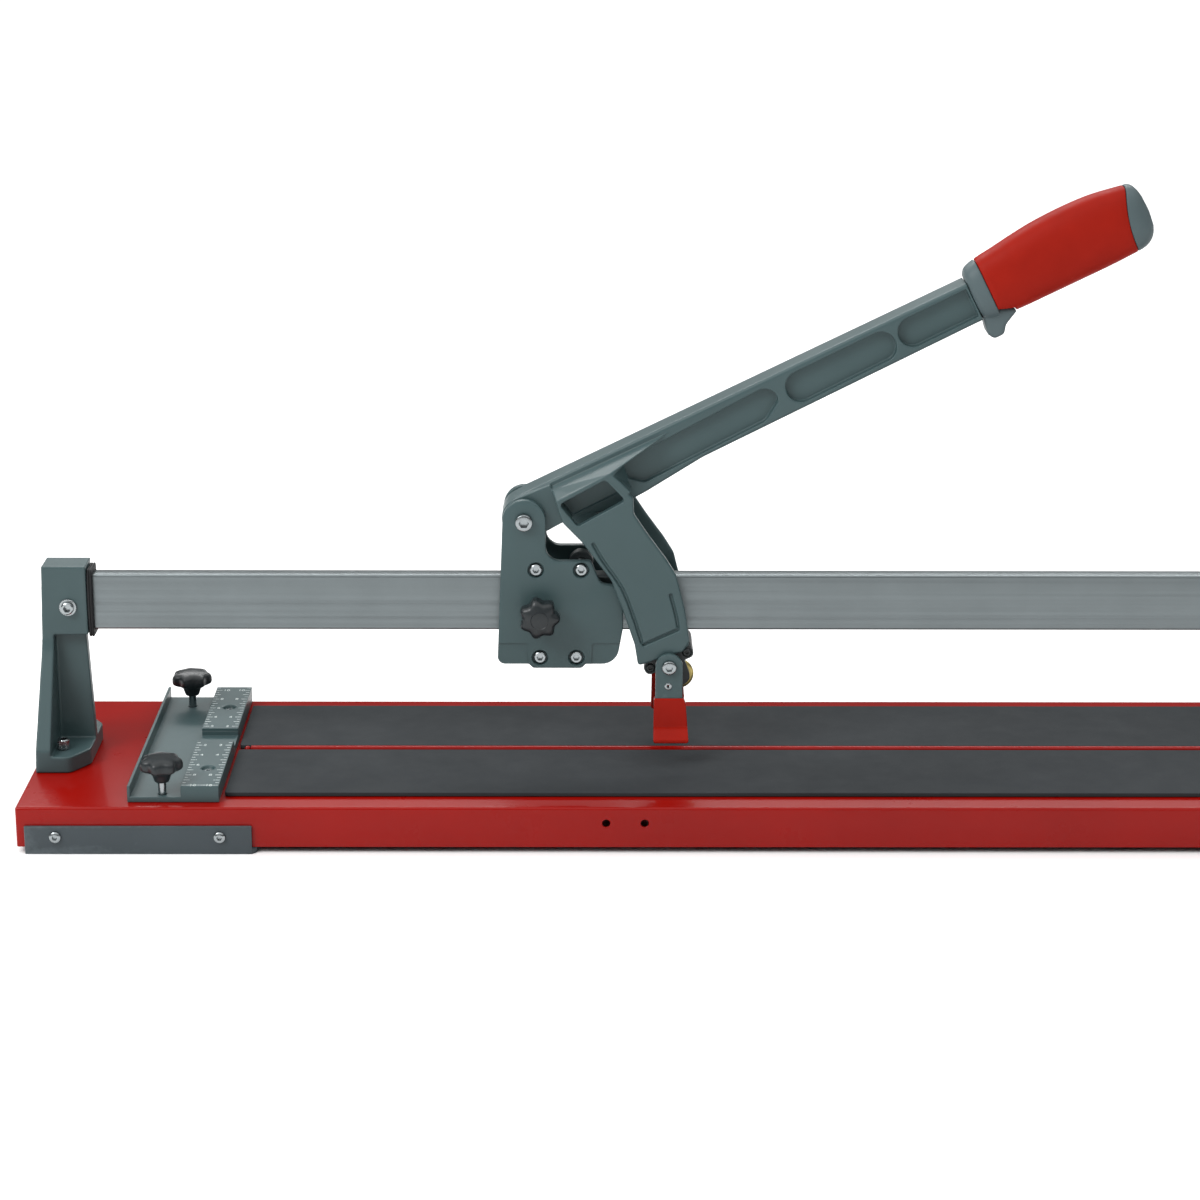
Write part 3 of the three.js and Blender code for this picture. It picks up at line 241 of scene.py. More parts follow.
def in_scene(name, data):
    obj = bpy.data.objects.new(name, data)
    bpy.context.scene.collection.objects.link(obj)
    return obj


def holder(mesh):
    return in_scene("work", mesh)


def combine(base, tools, operation):
    for tool in tools:
        work = holder(base)
        other = holder(tool)
        modifier = work.modifiers.new("boolean", "BOOLEAN")
        modifier.operation = operation
        modifier.solver = "EXACT"
        modifier.object = other
        base = evaluated(work)
        bpy.data.objects.remove(other)
    return base


def fuse(base, *tools):
    return combine(base, tools, "UNION")


def cut(base, *tools):
    return combine(base, tools, "DIFFERENCE")


def keep_common(base, *tools):
    return combine(base, tools, "INTERSECT")


def add_bevel(obj, width, segments, angle):
    bevel = obj.modifiers.new("edges", "BEVEL")
    bevel.width = width
    bevel.segments = segments
    bevel.limit_method = "ANGLE"
    bevel.angle_limit = math.radians(angle)
    bevel.use_clamp_overlap = False
    return bevel


def bevelled(mesh, width, segments=3, angle=30):
    work = holder(mesh)
    add_bevel(work, width, segments, angle)
    return evaluated(work)


def cast(mesh, voxel, smoothing, keep):
    """Turns crisp solids into one poured casting: every edge and inner corner becomes a small radius."""
    work = holder(mesh)
    remesh = work.modifiers.new("voxels", "REMESH")
    remesh.mode = "VOXEL"
    remesh.voxel_size = voxel
    smooth = work.modifiers.new("smooth", "SMOOTH")
    smooth.factor = 0.5
    smooth.iterations = smoothing
    thin = work.modifiers.new("thin", "DECIMATE")
    thin.ratio = keep
    return evaluated(work)


def mirrored(mesh, axis):
    copy = mesh.copy()
    factors = [-1 if name == axis else 1 for name in "xyz"]
    copy.transform(Matrix.Diagonal((*factors, 1)))
    copy.flip_normals()
    return copy


def joined(meshes):
    bm = bmesh.new()
    for mesh in meshes:
        bm.from_mesh(mesh)
    return close_mesh(bm, "joined")


def piece(name, mesh, material, body, *nodes, edge=0.0, segments=2, smooth=40):
    """Finished object: scaled to metres, rounded along its edges, riding on its body."""
    mesh.transform(Matrix.Scale(MM, 4))
    mesh.name = name
    mesh.materials.clear()
    mesh.materials.append(MATERIALS[material])
    mesh.polygons.foreach_set("use_smooth", [True] * len(mesh.polygons))
    mesh.set_sharp_from_angle(angle=math.radians(smooth))
    obj = in_scene(name, mesh)
    if edge > 0:
        add_bevel(obj, edge * MM, segments, 30).harden_normals = True
    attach(obj, body)
    if nodes:
        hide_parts(*nodes)
    return obj


# ---------- materials ----------
def new_material(name):
    material = bpy.data.materials.new(name)
    material.use_nodes = True
    tree = material.node_tree
    return material, tree, tree.nodes["Principled BSDF"]


def link(tree, source, output, target, socket):
    tree.links.new(source.outputs[output], target.inputs[socket])


def object_coords(tree, scale=(1, 1, 1)):
    coords = tree.nodes.new("ShaderNodeTexCoord")
    mapping = tree.nodes.new("ShaderNodeMapping")
    mapping.inputs["Scale"].default_value = scale
    link(tree, coords, "Object", mapping, "Vector")
    return mapping


def noise(tree, vector, scale, detail=3.0, roughness=0.55):
    node = tree.nodes.new("ShaderNodeTexNoise")
    node.inputs["Scale"].default_value = scale
    node.inputs["Detail"].default_value = detail
    node.inputs["Roughness"].default_value = roughness
    link(tree, vector, "Vector", node, "Vector")
    return node


def ramp(tree, source, output, stops):
    node = tree.nodes.new("ShaderNodeValToRGB")
    for element, (position, color) in zip(node.color_ramp.elements, stops):
        element.position = position
        element.color = (*color, 1)
    link(tree, source, output, node, "Fac")
    return node


def grey(value):
    return (value, value, value)


def shade(color, factor):
    return tuple(min(1.0, c * factor) for c in color)


def blend_colors(tree, factor, under, over):
    """Mix node: the factor node's grey chooses between the under node's colour and a fixed colour."""
    node = tree.nodes.new("ShaderNodeMixRGB")
    link(tree, factor, "Color", node, "Fac")
    link(tree, under, "Color", node, "Color1")
    node.inputs["Color2"].default_value = (*over, 1)
    return node


def bump(tree, shader, heights):
    previous = None
    for source, output, strength, distance in heights:
        node = tree.nodes.new("ShaderNodeBump")
        node.inputs["Strength"].default_value = strength
        node.inputs["Distance"].default_value = distance
        link(tree, source, output, node, "Height")
        if previous is not None:
            link(tree, previous, "Normal", node, "Normal")
        previous = node
    link(tree, previous, "Normal", shader, "Normal")


def edge_wear(tree, vector, low, high):
    """White where an edge has been rubbed: sharp geometry broken up by noise."""
    geometry = tree.nodes.new("ShaderNodeNewGeometry")
    add = tree.nodes.new("ShaderNodeMath")
    add.operation = "MULTIPLY_ADD"
    link(tree, noise(tree, vector, 260, 4), "Fac", add, 0)
    add.inputs[1].default_value = 0.16
    link(tree, geometry, "Pointiness", add, 2)
    return ramp(tree, add, "Value", [(low, grey(0.0)), (high, grey(1.0))])


def gloss_from(tree, shader, source, rough, spread):
    tones = [(0.3, grey(rough * (1 - spread))), (0.72, grey(min(1.0, rough * (1 + spread))))]
    link(tree, ramp(tree, source, "Fac", tones), "Color", shader, "Roughness")


def cloudy(tree, source, color, dark, light, top=0.7):
    """Ramp from a darker to a lighter shade of one colour."""
    return ramp(tree, source, "Fac", [(0.3, shade(color, dark)), (top, shade(color, light))])


def powder_coat(name, color, rough, specular, peel, worn, lacquer=0.0):
    """Sprayed and baked paint: slight orange peel, cloudy gloss, edges rubbed thin."""
    material, tree, shader = new_material(name)
    where = object_coords(tree)
    tone = cloudy(tree, noise(tree, where, 9, 3), color, 0.92, 1.07)
    worn_tone = blend_colors(tree, edge_wear(tree, where, 0.67, 0.80), tone, worn)
    link(tree, worn_tone, "Color", shader, "Base Color")
    gloss_from(tree, shader, noise(tree, where, 22, 5, 0.6), rough, 0.14)
    shader.inputs["Coat Weight"].default_value = lacquer
    shader.inputs["Coat Roughness"].default_value = 0.05
    shader.inputs["Specular IOR Level"].default_value = specular
    bump(tree, shader, [(noise(tree, where, 330, 2), "Fac", peel, 0.0002),
                        (noise(tree, where, 1100, 2), "Fac", peel, 0.00005)])
    return material


def plated_steel(name, color, rough, grain_scale, grain, tint=0.12):
    """Bare or plated metal with a grain that can be stretched along one axis."""
    material, tree, shader = new_material(name)
    shader.inputs["Metallic"].default_value = 1.0
    streaks = noise(tree, object_coords(tree, grain_scale), 60, 4, 0.6)
    tone = cloudy(tree, noise(tree, object_coords(tree), 30, 3), color, 1 - tint, 1 + tint * 0.4)
    link(tree, tone, "Color", shader, "Base Color")
    gloss_from(tree, shader, streaks, rough, 0.25)
    bump(tree, shader, [(streaks, "Fac", grain, 0.00008)])
    return material


def rubber(name, color, rough, stipple, specular):
    """Soft rubber: large clouds and a fine stipple."""
    material, tree, shader = new_material(name)
    where = object_coords(tree)
    cloud = noise(tree, where, 7, 4)
    link(tree, cloudy(tree, cloud, color, 0.84, 1.14, 0.72), "Color", shader, "Base Color")
    gloss_from(tree, shader, noise(tree, where, 45, 5, 0.65), rough, 0.08)
    shader.inputs["Specular IOR Level"].default_value = specular
    bump(tree, shader, [(noise(tree, where, 1400, 2), "Fac", stipple, 0.00012), (cloud, "Fac", 0.05, 0.0004)])
    return material


def moulded(name, color, rough, grain, specular=0.4):
    """Moulded plastic with a fine spark-eroded grain."""
    material, tree, shader = new_material(name)
    where = object_coords(tree)
    tone = cloudy(tree, noise(tree, where, 26, 3), color, 0.9, 1.08)
    link(tree, tone, "Color", shader, "Base Color")
    gloss_from(tree, shader, noise(tree, where, 60, 4), rough, 0.12)
    shader.inputs["Specular IOR Level"].default_value = specular
    grain_cells = tree.nodes.new("ShaderNodeTexVoronoi")
    grain_cells.inputs["Scale"].default_value = 1500
    link(tree, where, "Vector", grain_cells, "Vector")
    bump(tree, shader, [(grain_cells, "Distance", grain, 0.00012)])
    return material


def white_ink():
    material, tree, shader = new_material("ruler_ink")
    where = object_coords(tree)
    rubbed = noise(tree, where, 700, 5, 0.7)
    tones = [(0.38, (0.30, 0.36, 0.36)), (0.56, (0.66, 0.71, 0.70))]
    link(tree, ramp(tree, rubbed, "Fac", tones), "Color", shader, "Base Color")
    gloss_from(tree, shader, rubbed, 0.6, 0.2)
    bump(tree, shader, [(rubbed, "Fac", 0.2, 0.00004)])
    return material


MATERIALS = {
    "red_paint": powder_coat("red_powder_coat", (0.245, 0.0030, 0.0010), 0.30, 0.05, 0.015,
                             (0.32, 0.02, 0.014), 0.30),
    "grey_paint": powder_coat("grey_powder_coat", (0.045, 0.078, 0.082), 0.40, 0.34, 0.10,
                              (0.12, 0.17, 0.175)),
    "bracket_paint": powder_coat("bracket_powder_coat", (0.044, 0.056, 0.063), 0.48, 0.28, 0.10,
                                 (0.09, 0.11, 0.12)),
    "zinc_steel": plated_steel("zinc_plated_steel", (0.33, 0.36, 0.37), 0.26, (1, 1, 1), 0.10),
    "rail_steel": plated_steel("drawn_steel", (0.175, 0.200, 0.206), 0.36, (0.02, 3, 6), 0.04, 0.05),
    "black_steel": powder_coat("blackened_steel", (0.026, 0.033, 0.035), 0.42, 0.4, 0.1, (0.06, 0.065, 0.07)),
    "mat_rubber": rubber("mat_rubber", (0.032, 0.036, 0.039), 0.85, 0.5, 0.14),
    "black_rubber": rubber("black_rubber", (0.010, 0.011, 0.012), 0.6, 0.25, 0.3),
    "black_plastic": moulded("black_plastic", (0.012, 0.016, 0.018), 0.36, 0.08),
    "grip_red": moulded("grip_red_soft", (0.28, 0.0105, 0.0045), 0.55, 0.14, 0.08),
    "grip_grey": moulded("grip_grey_hard", (0.075, 0.105, 0.112), 0.5, 0.12, 0.3),
    "shoe_red": moulded("dipped_red_vinyl", (0.29, 0.0080, 0.0025), 0.36, 0.05, 0.10),
    "gold_coat": plated_steel("gold_coating", (0.52, 0.42, 0.16), 0.32, (1, 1, 1), 0.08),
}
RULER_INK = white_ink()

# Carried-over CAD nodes take the finish of their slot.
for entry in frame["record"]["subparts"]:
    mesh = frame["nodes"][entry["node"]].data
    mesh.materials.clear()
    mesh.materials.append(MATERIALS[entry["material_slot"]])


def soften_node(name, width):
    """Rounds the edges of a CAD node with modifiers; its own mesh stays as it is."""
    obj = frame["nodes"][name]
    weld = obj.modifiers.new("weld", "WELD")
    weld.merge_threshold = 2e-6
    flat = obj.modifiers.new("flat", "DECIMATE")
    flat.decimate_type = "DISSOLVE"
    flat.angle_limit = math.radians(0.6)
    add_bevel(obj, width * MM, 3, 32)
    normals = obj.modifiers.new("normals", "WEIGHTED_NORMAL")
    normals.keep_sharp = True


SLOT = {entry["node"]: entry["material_slot"] for entry in frame["record"]["subparts"]}
BODY = {node: body for body, nodes in frame["record"]["behaviour"]["bodies"].items() for node in nodes}


def stand_in(node, mesh, **finish):
    """Detailed piece that takes a CAD node's place, with its body and its finish."""
    return piece(f"{node}_form", mesh, SLOT[node], BODY[node], node, **finish)


# ---------- reference places, read from the frame ----------
GAP = 0.3
ORIGIN = (0, 0, 0)
BASE_TOP = box_of("mat_front")[0].z - GAP
PIVOT = centre_of("pivot_bolt")
FOOT = centre_of("foot_pivot_bolt")
ARM_ANGLE = math.radians(26.9)
LEG_TILT = math.radians(24.5)
ENDS = ("left", "right")
ROWS = ("front", "rear")
# How far each carriage bolt sits below its bearing: the lower journals are eccentric, which sets the play.
BOLT_DROP = {"upper": 0, "lower": 3}


# ---------- fasteners ----------
def hex_socket(across, axis, centre, depth):
    """Tool for the hexagonal recess of a screw: it starts at centre and runs along the axis."""
    return moved(prism(circle(0, 0, across / math.sqrt(3), HEX), axis, 0, depth), centre)


def moved(mesh, offset):
    mesh.transform(Matrix.Translation(Vector(offset)))
    return mesh


def stand_in_pair(stem, ends, mesh, axis, **finish):
    """One shape and its mirror image, for the nodes of a pair."""
    for end, made in zip(ends, (mesh, mirrored(mesh, axis))):
        stand_in(f"{stem}_{end}", made, **finish)


def bracket_screws():
    """Round-headed screws; the rear ones are the same screw turned round."""
    length, shank, socket = 8, 1.9, 3.4
    for node, low, high, at in copies("bracket_screw_{}_{}", ENDS, ("front_1", "front_2", "rear_1")):
        front = "front" in node
        r = (high.x - low.x) / 2
        profile = [(0, length), (shank, length), (shank, 2.5), (r, 2.5), (r, 1.5), (r - 0.25, 0.9),
                   (r - 1.1, 0.3), (r - 2, 0), (0, 0)]
        screw = cut(lathe(profile, "y", ORIGIN), hex_socket(socket, "y", (0, -0.5, 0), 2.6))
        screw = moved(screw, (0, low.y if front else -high.y, 0))
        if not front:
            screw = mirrored(screw, "y")
        stand_in(node, moved(screw, (at.x, 0, at.z)), edge=0.12)


def support_bolts():
    """Socket bolts with a knurled head."""
    head, shank, socket, knurls, knurl = 7.6, 3, 4, 36, 0.12
    for node, low, high, at in copies("support_bolt_{}_{}", ENDS, ROWS):
        r = (high.x - low.x) / 2 - 0.15
        top, seat = high.z, high.z - head
        rim = prism(toothed(r + knurl, r - knurl, knurls), "z", seat + 0.6, top - 0.7)
        core = lathe([(0, low.z), (shank, low.z), (shank, seat), (r - 0.3, seat), (r - 0.1, seat + 0.8),
                      (r - 0.1, top - 0.9), (r - 0.7, top), (0, top)], "z", ORIGIN)
        bolt = cut(fuse(core, rim), hex_socket(socket, "z", (0, 0, top - 4.4), 6))
        stand_in(node, moved(bolt, (at.x, at.y, 0)), edge=0.1)


def rail_clamp_bolts():
    """Bolts through the supports, with a serrated washer in front and a plain flange behind."""
    face, shank, teeth, socket = 12.3 + GAP, 4, 28, 4.8
    for node, low, high, at in copies("rail_clamp_bolt_{}", ENDS):
        washer = prism(toothed(6.3, 5.7, teeth), "y", -face - 1.1, -face - 0.05)
        core = lathe([(0, low.y), (3.6, low.y), (4.4, low.y + 0.5), (4.5, low.y + 1), (4.5, -face - 1.2),
                      (5.3, -face - 1.0), (5.3, -face - 0.1), (shank, -face), (shank, face), (6.2, face),
                      (6.2, high.y - 0.2), (0, high.y - 0.2)], "y", ORIGIN)
        bolt = cut(fuse(core, washer), hex_socket(socket, "y", (0, low.y - 0.5, 0), 4))
        stand_in(node, moved(bolt, (at.x, 0, at.z)), edge=0.12)


def fence_screws():
    """Countersunk screws that sit a little below the ruler's face."""
    sunk, shank, socket = 1.5, 2, 2.9
    for node, low, high, at in copies("fence_screw_{}", ROWS):
        top = high.z - sunk
        profile = [(0, low.z), (shank, low.z), (shank, top - 1.4), (3.5, top - 0.3), (3.1, top), (0, top)]
        screw = cut(lathe(profile, "z", ORIGIN), hex_socket(socket, "z", (0, 0, top - 1.2), 3))
        stand_in(node, moved(screw, (at.x, at.y, 0)), edge=0.1)


def bearing_axles():
    """Carriage bolts through both plates, with a journal for the bearing between them."""
    shank, head_height, shoulder, face, socket = 2.5, 3.3, 17.2, 4.3, 4.0
    for level, journal in (("upper", 2.9), ("lower", 5.9)):
        for end in ENDS:
            node = f"{level}_axle_{end}"
            bearing = centre_of(f"{level}_bearing_{end}")
            head = box_of(node)[1].y
            head_z = bearing.z - BOLT_DROP[level]
            collar = journal + 1.5
            bolt = lathe(both_ways([(0, head), (3.5, head), (4.1, head - 0.5), (4.1, head - 3),
                                    (shank, head - head_height)]), "y", (bearing.x, 0, head_z))
            spindle = lathe(both_ways([(0, shoulder), (collar, shoulder), (collar, face), (journal, face)]),
                            "y", (bearing.x, 0, bearing.z))
            made = cut(fuse(bolt, spindle), hex_socket(socket, "y", (bearing.x, -head - 0.5, head_z), 3.3))
            stand_in(node, made, edge=0.15)


def ball_bearings():
    """Shielded bearings: the shield is a shallow groove between the rings."""
    ring, shield, chamfer = 1.7, 0.6, 0.4
    for level, bore in (("upper", 2.96), ("lower", 5.98)):
        for node, low, high, at in copies(level + "_bearing_{}", ENDS):
            r, w = (high.z - low.z) / 2, (high.y - low.y) / 2
            race, hub = r - ring, bore + 1.3
            profile = both_ways([(bore, w), (hub, w), (hub, w - shield), (race, w - shield), (race, w),
                                 (r - chamfer, w), (r, w - chamfer)])
            stand_in(node, lathe(profile, "y", at), edge=0.08)


def pivot_bolt():
    low, high = box_of("pivot_bolt")
    shank, plates, socket = 4.2, 23.8, 6.2
    profile = [(0, low.y), (4.9, low.y), (5.7, low.y + 0.4), (6.0, low.y + 1.1), (6.0, -plates),
               (shank, -plates), (shank, plates), (6.4, plates), (6.4, high.y - 0.5), (5.9, high.y),
               (0, high.y)]
    bolt = lathe(profile, "y", (PIVOT.x, 0, PIVOT.z))
    bolt = cut(bolt, hex_socket(socket, "y", (PIVOT.x, low.y - 0.5, PIVOT.z), 4.6))
    stand_in("pivot_bolt", bolt, edge=0.15)


def foot_pivot_bolt():
    low, high = box_of("foot_pivot_bolt")
    shank, collar, socket = 3, 5, 4.6
    middle = both_ways([(5.1, 36.0), (shank, 36.0), (shank, 32.3), (collar, 32.3), (collar, 20.3),
                        (shank, 20.3)])
    profile = [(0, low.y), (4.1, low.y), (4.8, low.y + 0.4), (5.1, low.y + 1), *middle,
               (5.1, high.y - 0.4), (4.7, high.y), (0, high.y)]
    bolt = lathe(profile, "y", (FOOT.x, 0, FOOT.z))
    bolt = cut(bolt, hex_socket(socket, "y", (FOOT.x, low.y - 0.5, FOOT.z), 2.9))
    stand_in("foot_pivot_bolt", bolt, edge=0.12)


def foot_rivet():
    """Hollow rivet with a rolled rim."""
    low, high = box_of("foot_rivet")
    at = centre_of("foot_rivet")
    profile = [(1.0, low.y + 0.15), (1.25, low.y), (2.2, low.y), (2.5, low.y + 0.2), (2.5, low.y + 0.5),
               (1.8, low.y + 0.5), (1.8, high.y), (1.0, high.y)]
    stand_in("foot_rivet", lathe(profile, "y", (at.x, 0, at.z)))


# ---------- base ----------
def base_pan():
    """Folded steel pan, open below, with the pins that hold the breaking ridge."""
    low, high = box_of("base_pan")
    wall, bend, hole_r, hole_z = 1.6, 1.9, 2.8, 21.8
    skin = bevelled(slab((low.x, high.x), (low.y, high.y), (low.z - 8, BASE_TOP)), bend, 6)
    inner = slab((low.x + wall, high.x - wall), (low.y + wall, high.y - wall), (low.z - 20, BASE_TOP - wall))
    below = slab((low.x - 5, high.x + 5), (low.y - 5, high.y + 5), (low.z - 20, low.z))
    holes = [moved(rod(hole_r, low.y - 2, high.y + 2, "y", ORIGIN, 32), (x, 0, hole_z))
             for x in (-347.5, -321.2, 321.2, 347.5)]
    stand_in("base_pan", cut(skin, bevelled(inner, 1.4, 3), below, *holes), edge=0.25)
    pin_r, straight, rise, pin_x = 2.2, 2.2, 1.9, 603.5
    dome = [(pin_r * math.cos(a), straight + rise * math.sin(a)) for a in (0.3, 0.6, 0.9, 1.2)]
    for end, x in zip(ENDS, (-pin_x, pin_x)):
        profile = [(0, -0.4), (pin_r, -0.4), (pin_r, straight), *dome, (0, straight + rise)]
        piece(f"ridge_pin_{end}", lathe(profile, "z", (x, 0, BASE_TOP)), "red_paint", "base")


def breaking_ridge():
    low, high = box_of("breaking_ridge")
    w = high.y
    outline = rounded([(-w, low.z), (w, low.z), (w, high.z, 1.9), (-w, high.z, 1.9)], 8)
    stand_in("breaking_ridge", prism(outline, "x", low.x, high.x), edge=0.2)


def mats():
    for node, low, high, _ in copies("mat_{}", ROWS):
        outline = rectangle((low.x, high.x), (low.y, high.y), 2.5, 8)
        stand_in(node, prism(outline, "z", low.z, high.z), edge=0.6, segments=3)


def rail():
    low, high = box_of("rail")
    wall = 2.5
    outer = rectangle((low.y, high.y), (low.z, high.z), 1.6)
    inner = rectangle((low.y + wall, high.y - wall), (low.z + wall, high.z - wall), 1, 3)
    stand_in("rail", cut(prism(outer, "x", low.x, high.x), prism(inner, "x", low.x - 1, high.x + 1)))


def end_supports():
    """Cast uprights: a head around the rail's end, a tapering rib, and a foot with two bolt bosses."""
    low, high = box_of("end_support_left")
    rail_low, rail_high = box_of("rail")
    bolt_x, bolt_y, clamp = -730, 28, (-724.6, 0, BASE_TOP + 112)
    out, inn, under = -742.2, -711.4, BASE_TOP + 91.5
    foot_out, foot_inn, foot_top = low.x, high.x, BASE_TOP + 12
    foot_d, d, z0, top = high.y, 12.3, low.z, high.z - 0.2
    head = slab((out, inn), (-d, d), (under, high.z))
    flare = rounded([(-foot_d, z0), (foot_d, z0), (foot_d, foot_top + 4, 5), (d, under - 6, 34),
                     (d, top), (-d, top), (-d, under - 6, 34), (-foot_d, foot_top + 4, 5)], 10)
    lean = [(foot_out, z0), (foot_out + 11, z0), (out + 6.5, under), (out + 6.5, top), (out, top)]
    rib = keep_common(prism(flare, "x", foot_out - 1, inn), prism(lean, "y", -foot_d - 1, foot_d + 1))
    web = prism([(out, z0), (foot_inn, z0), (foot_inn, foot_top), (inn - 3, under + 1), (out + 2, under + 1)],
                "y", -4, 4)
    lug = foot_d - 19
    plan = rounded([(foot_out, -foot_d, 3), (foot_inn - 12, -foot_d, 7), (foot_inn, -lug, 9),
                    (foot_inn, lug, 9), (foot_inn - 12, foot_d, 7), (foot_out, foot_d, 3)], 6)
    foot = prism(plan, "z", z0, foot_top)
    boss = [(0, foot_top - 4), (7.5, foot_top - 4), (7.2, foot_top), (0, foot_top)]
    bosses = [lathe(boss, "z", (bolt_x, y, 0), 32) for y in (-bolt_y, bolt_y)]
    socket = slab((-734.3, inn + 2), (-7.3, 7.3), (rail_low.z - GAP, rail_high.z + GAP))
    hole = rod(4.3, -d - 2, d + 2, "y", clamp, 32)
    solid = cut(fuse(head, rib, web, foot, *bosses), socket, hole)
    stand_in_pair("end_support", ENDS, cast(solid, 0.7, 3, 0.3), "x", smooth=60)


def rail_grommets():
    """Rubber collars around the rail, with bowed sides and a groove on the inner face."""
    low, high = box_of("rail_grommet_left")
    z = (low.z + high.z) / 2
    h, d, bow, lip = (high.z - low.z) / 2 - 0.3, 10.9, 1.6, 0.6

    def outline(inward):
        a, b, side = d - inward, h - inward, d + bow - inward
        return rounded([(-a, z - b, 3), (a, z - b, 3), (side, z, 60), (a, z + b, 3), (-a, z + b, 3),
                        (-side, z, 60)], 8)

    groove = prism(rectangle((-d - 3, d + 3), (z - h - 3, z + h + 3)), "x", -709.5, -708.8)
    core = prism(outline(lip), "x", low.x + 0.4, high.x - 0.4)
    body = fuse(cut(plate(outline(0), "x", low.x, high.x, 1.1), groove), core)
    seat = slab((low.x - 1, high.x + 1), (-7.2, 7.2), (z - 20.2, z + 20.2))
    stand_in_pair("rail_grommet", ENDS, cut(body, seat), "x", edge=0.2)


# ---------- fence with ruler ----------
def fence():
    """Fence profile with a groove across the ruler, sinks for its screws and holes for its studs."""
    low, high = box_of("fence_profile")
    floor, top, flange = BASE_TOP + 4, high.z, low.x + 2
    ruler = high.x - 26
    profile = [(low.x, low.z), (high.x, low.z), (high.x, top), (ruler, top), (ruler, floor), (flange, floor),
               (flange, top), (low.x, top)]
    across = (ruler - 1, high.x + 1)
    tools = [slab(across, (-9.3, 15), (top - 5.5, top + 1)),
             slab(across, (11, 15.5), (top - 2.2, top + 1)),
             slab(across, (-9.3, -5.5), (top - 7.0, top + 1))]
    sink = [(0, low.z - 1), (2.4, low.z - 1), (2.4, top - 3.7), (3.9, top - 2.3), (4.6, top - 0.6),
            (5.6, top + 0.1), (5.6, top + 1), (0, top + 1)]
    for row in ROWS:
        screw, stud = centre_of(f"fence_screw_{row}"), centre_of(f"fence_stud_{row}")
        tools.append(lathe(sink, "z", (screw.x, screw.y, 0), 48))
        tools.append(rod(3.2, low.z - 1, floor + 1, "z", (stud.x, stud.y, 0), 32))
    stand_in("fence_profile", cut(prism(profile, "y", low.y, high.y), *tools), edge=0.35)
    ruler_marks(ruler, high.x, low.y, high.y, top)


def ruler_marks(x0, x1, y0, y1, top):
    """Scale lines and centimetres along both edges of the ruler, counted outwards from the ridge."""
    step, width, margin, short, long = 5, 0.55, 0.6, 2.4, 4.2
    groove, screw_room = (-10, 15.5), 7
    screws = [centre_of(f"fence_screw_{row}").y for row in ROWS]

    def line(start, end, y):
        return slab((start, end), (y - width / 2, y + width / 2), (top - 0.05, top + 0.12))

    lines, numbers = [], []
    for k in range(-int(-y0 // step), int(y1 // step) + 1):
        y = k * step
        if groove[0] <= y <= groove[1] or y < y0 + 1 or y > y1 - 1:
            continue
        reach = short if k % 2 else long
        lines.append(line(x0 + margin, x0 + margin + reach, y))
        lines.append(line(x1 - margin - reach, x1 - margin, y))
        if k % 4 == 0:
            text = str(abs(k) // 2)
            numbers.append(number_mesh(text, x0 + 5.6, y, top))
            if all(abs(y - screw) > screw_room for screw in screws):
                numbers.append(number_mesh(text, x1 - 9.4, y, top))
    lines.append(line(x0 + margin, x1 - margin, y0 + 2.2))
    for name, meshes in (("ruler_marks", lines), ("ruler_numbers", numbers)):
        obj = piece(name, joined(meshes), "grey_paint", "base")
        obj.data.materials[0] = RULER_INK


def number_mesh(text, x, y, top):
    curve = bpy.data.curves.new("number", "FONT")
    curve.body = text
    curve.size = 5.0
    curve.extrude = 0.06
    curve.align_y = "CENTER"
    mesh = evaluated(in_scene("number", curve))
    bpy.data.curves.remove(curve)
    return moved(mesh, (x, y, top + 0.03))


# ---------- knobs ----------
def star_head(profile, rim, top, centre, axis):
    """Lobed knob of points (radius, height, depth of the valleys); top's heights are counted from rim."""
    lobes, sides = 7, 84
    sections = []
    for radius, height, valley in profile + [(r, rim + h, v) for r, h, v in top]:
        ring = []
        for i in range(sides):
            turn = 2 * math.pi * i / sides
            r = radius - valley * (0.5 - 0.5 * math.cos(lobes * turn))
            ring.append(AXES[axis]((r * math.cos(turn), r * math.sin(turn)), height))
        sections.append(ring)
    return moved(loft(sections), centre)


def fence_knobs():
    """Lobed knobs on threaded studs."""
    hub = [(4.4, 0, 0), (5.0, 0.4, 0), (5.6, 2, 0)]
    head = [(7.2, -1.4, 0), (9, -0.5, 0.3), (12.6, 0.1, 1.5), (14.2, 1, 2.2), (14.9, 2.4, 2.5),
            (14.9, 5.4, 2.5), (14.4, 6.9, 2.4), (13.2, 8.1, 1.9), (10.8, 9.1, 0.9), (8.2, 9.7, 0.3),
            (5.4, 10.2, 0), (3, 10.45, 0), (0.6, 10.6, 0)]
    for row in ROWS:
        low, high = box_of(f"fence_knob_{row}")
        stud = centre_of(f"fence_stud_{row}")
        knob = star_head(hub, high.z - low.z - head[-1][1], head, (stud.x, stud.y, low.z), "z")
        bore = rod(3.1, low.z - 1, low.z + 7.6, "z", (stud.x, stud.y, 0), 32)
        stand_in(f"fence_knob_{row}", cut(knob, bore), smooth=50)
        low, high = box_of(f"fence_stud_{row}")
        stand_in(f"fence_stud_{row}", threaded(2.85, low.z, high.z, (stud.x, stud.y, 0)), smooth=70)


def threaded(radius, start, end, centre):
    """Screw thread drawn as close V rings."""
    pitch, depth = 1.0, 0.32
    profile = [(0, start), (radius - depth, start)]
    turns = int((end - start - 0.6) / pitch)
    for k in range(turns):
        z = start + 0.3 + k * pitch
        profile += [(radius - depth, z), (radius, z + pitch / 2)]
    profile += [(radius - depth, end - 0.2), (0, end)]
    return lathe(profile, "z", centre, 36)


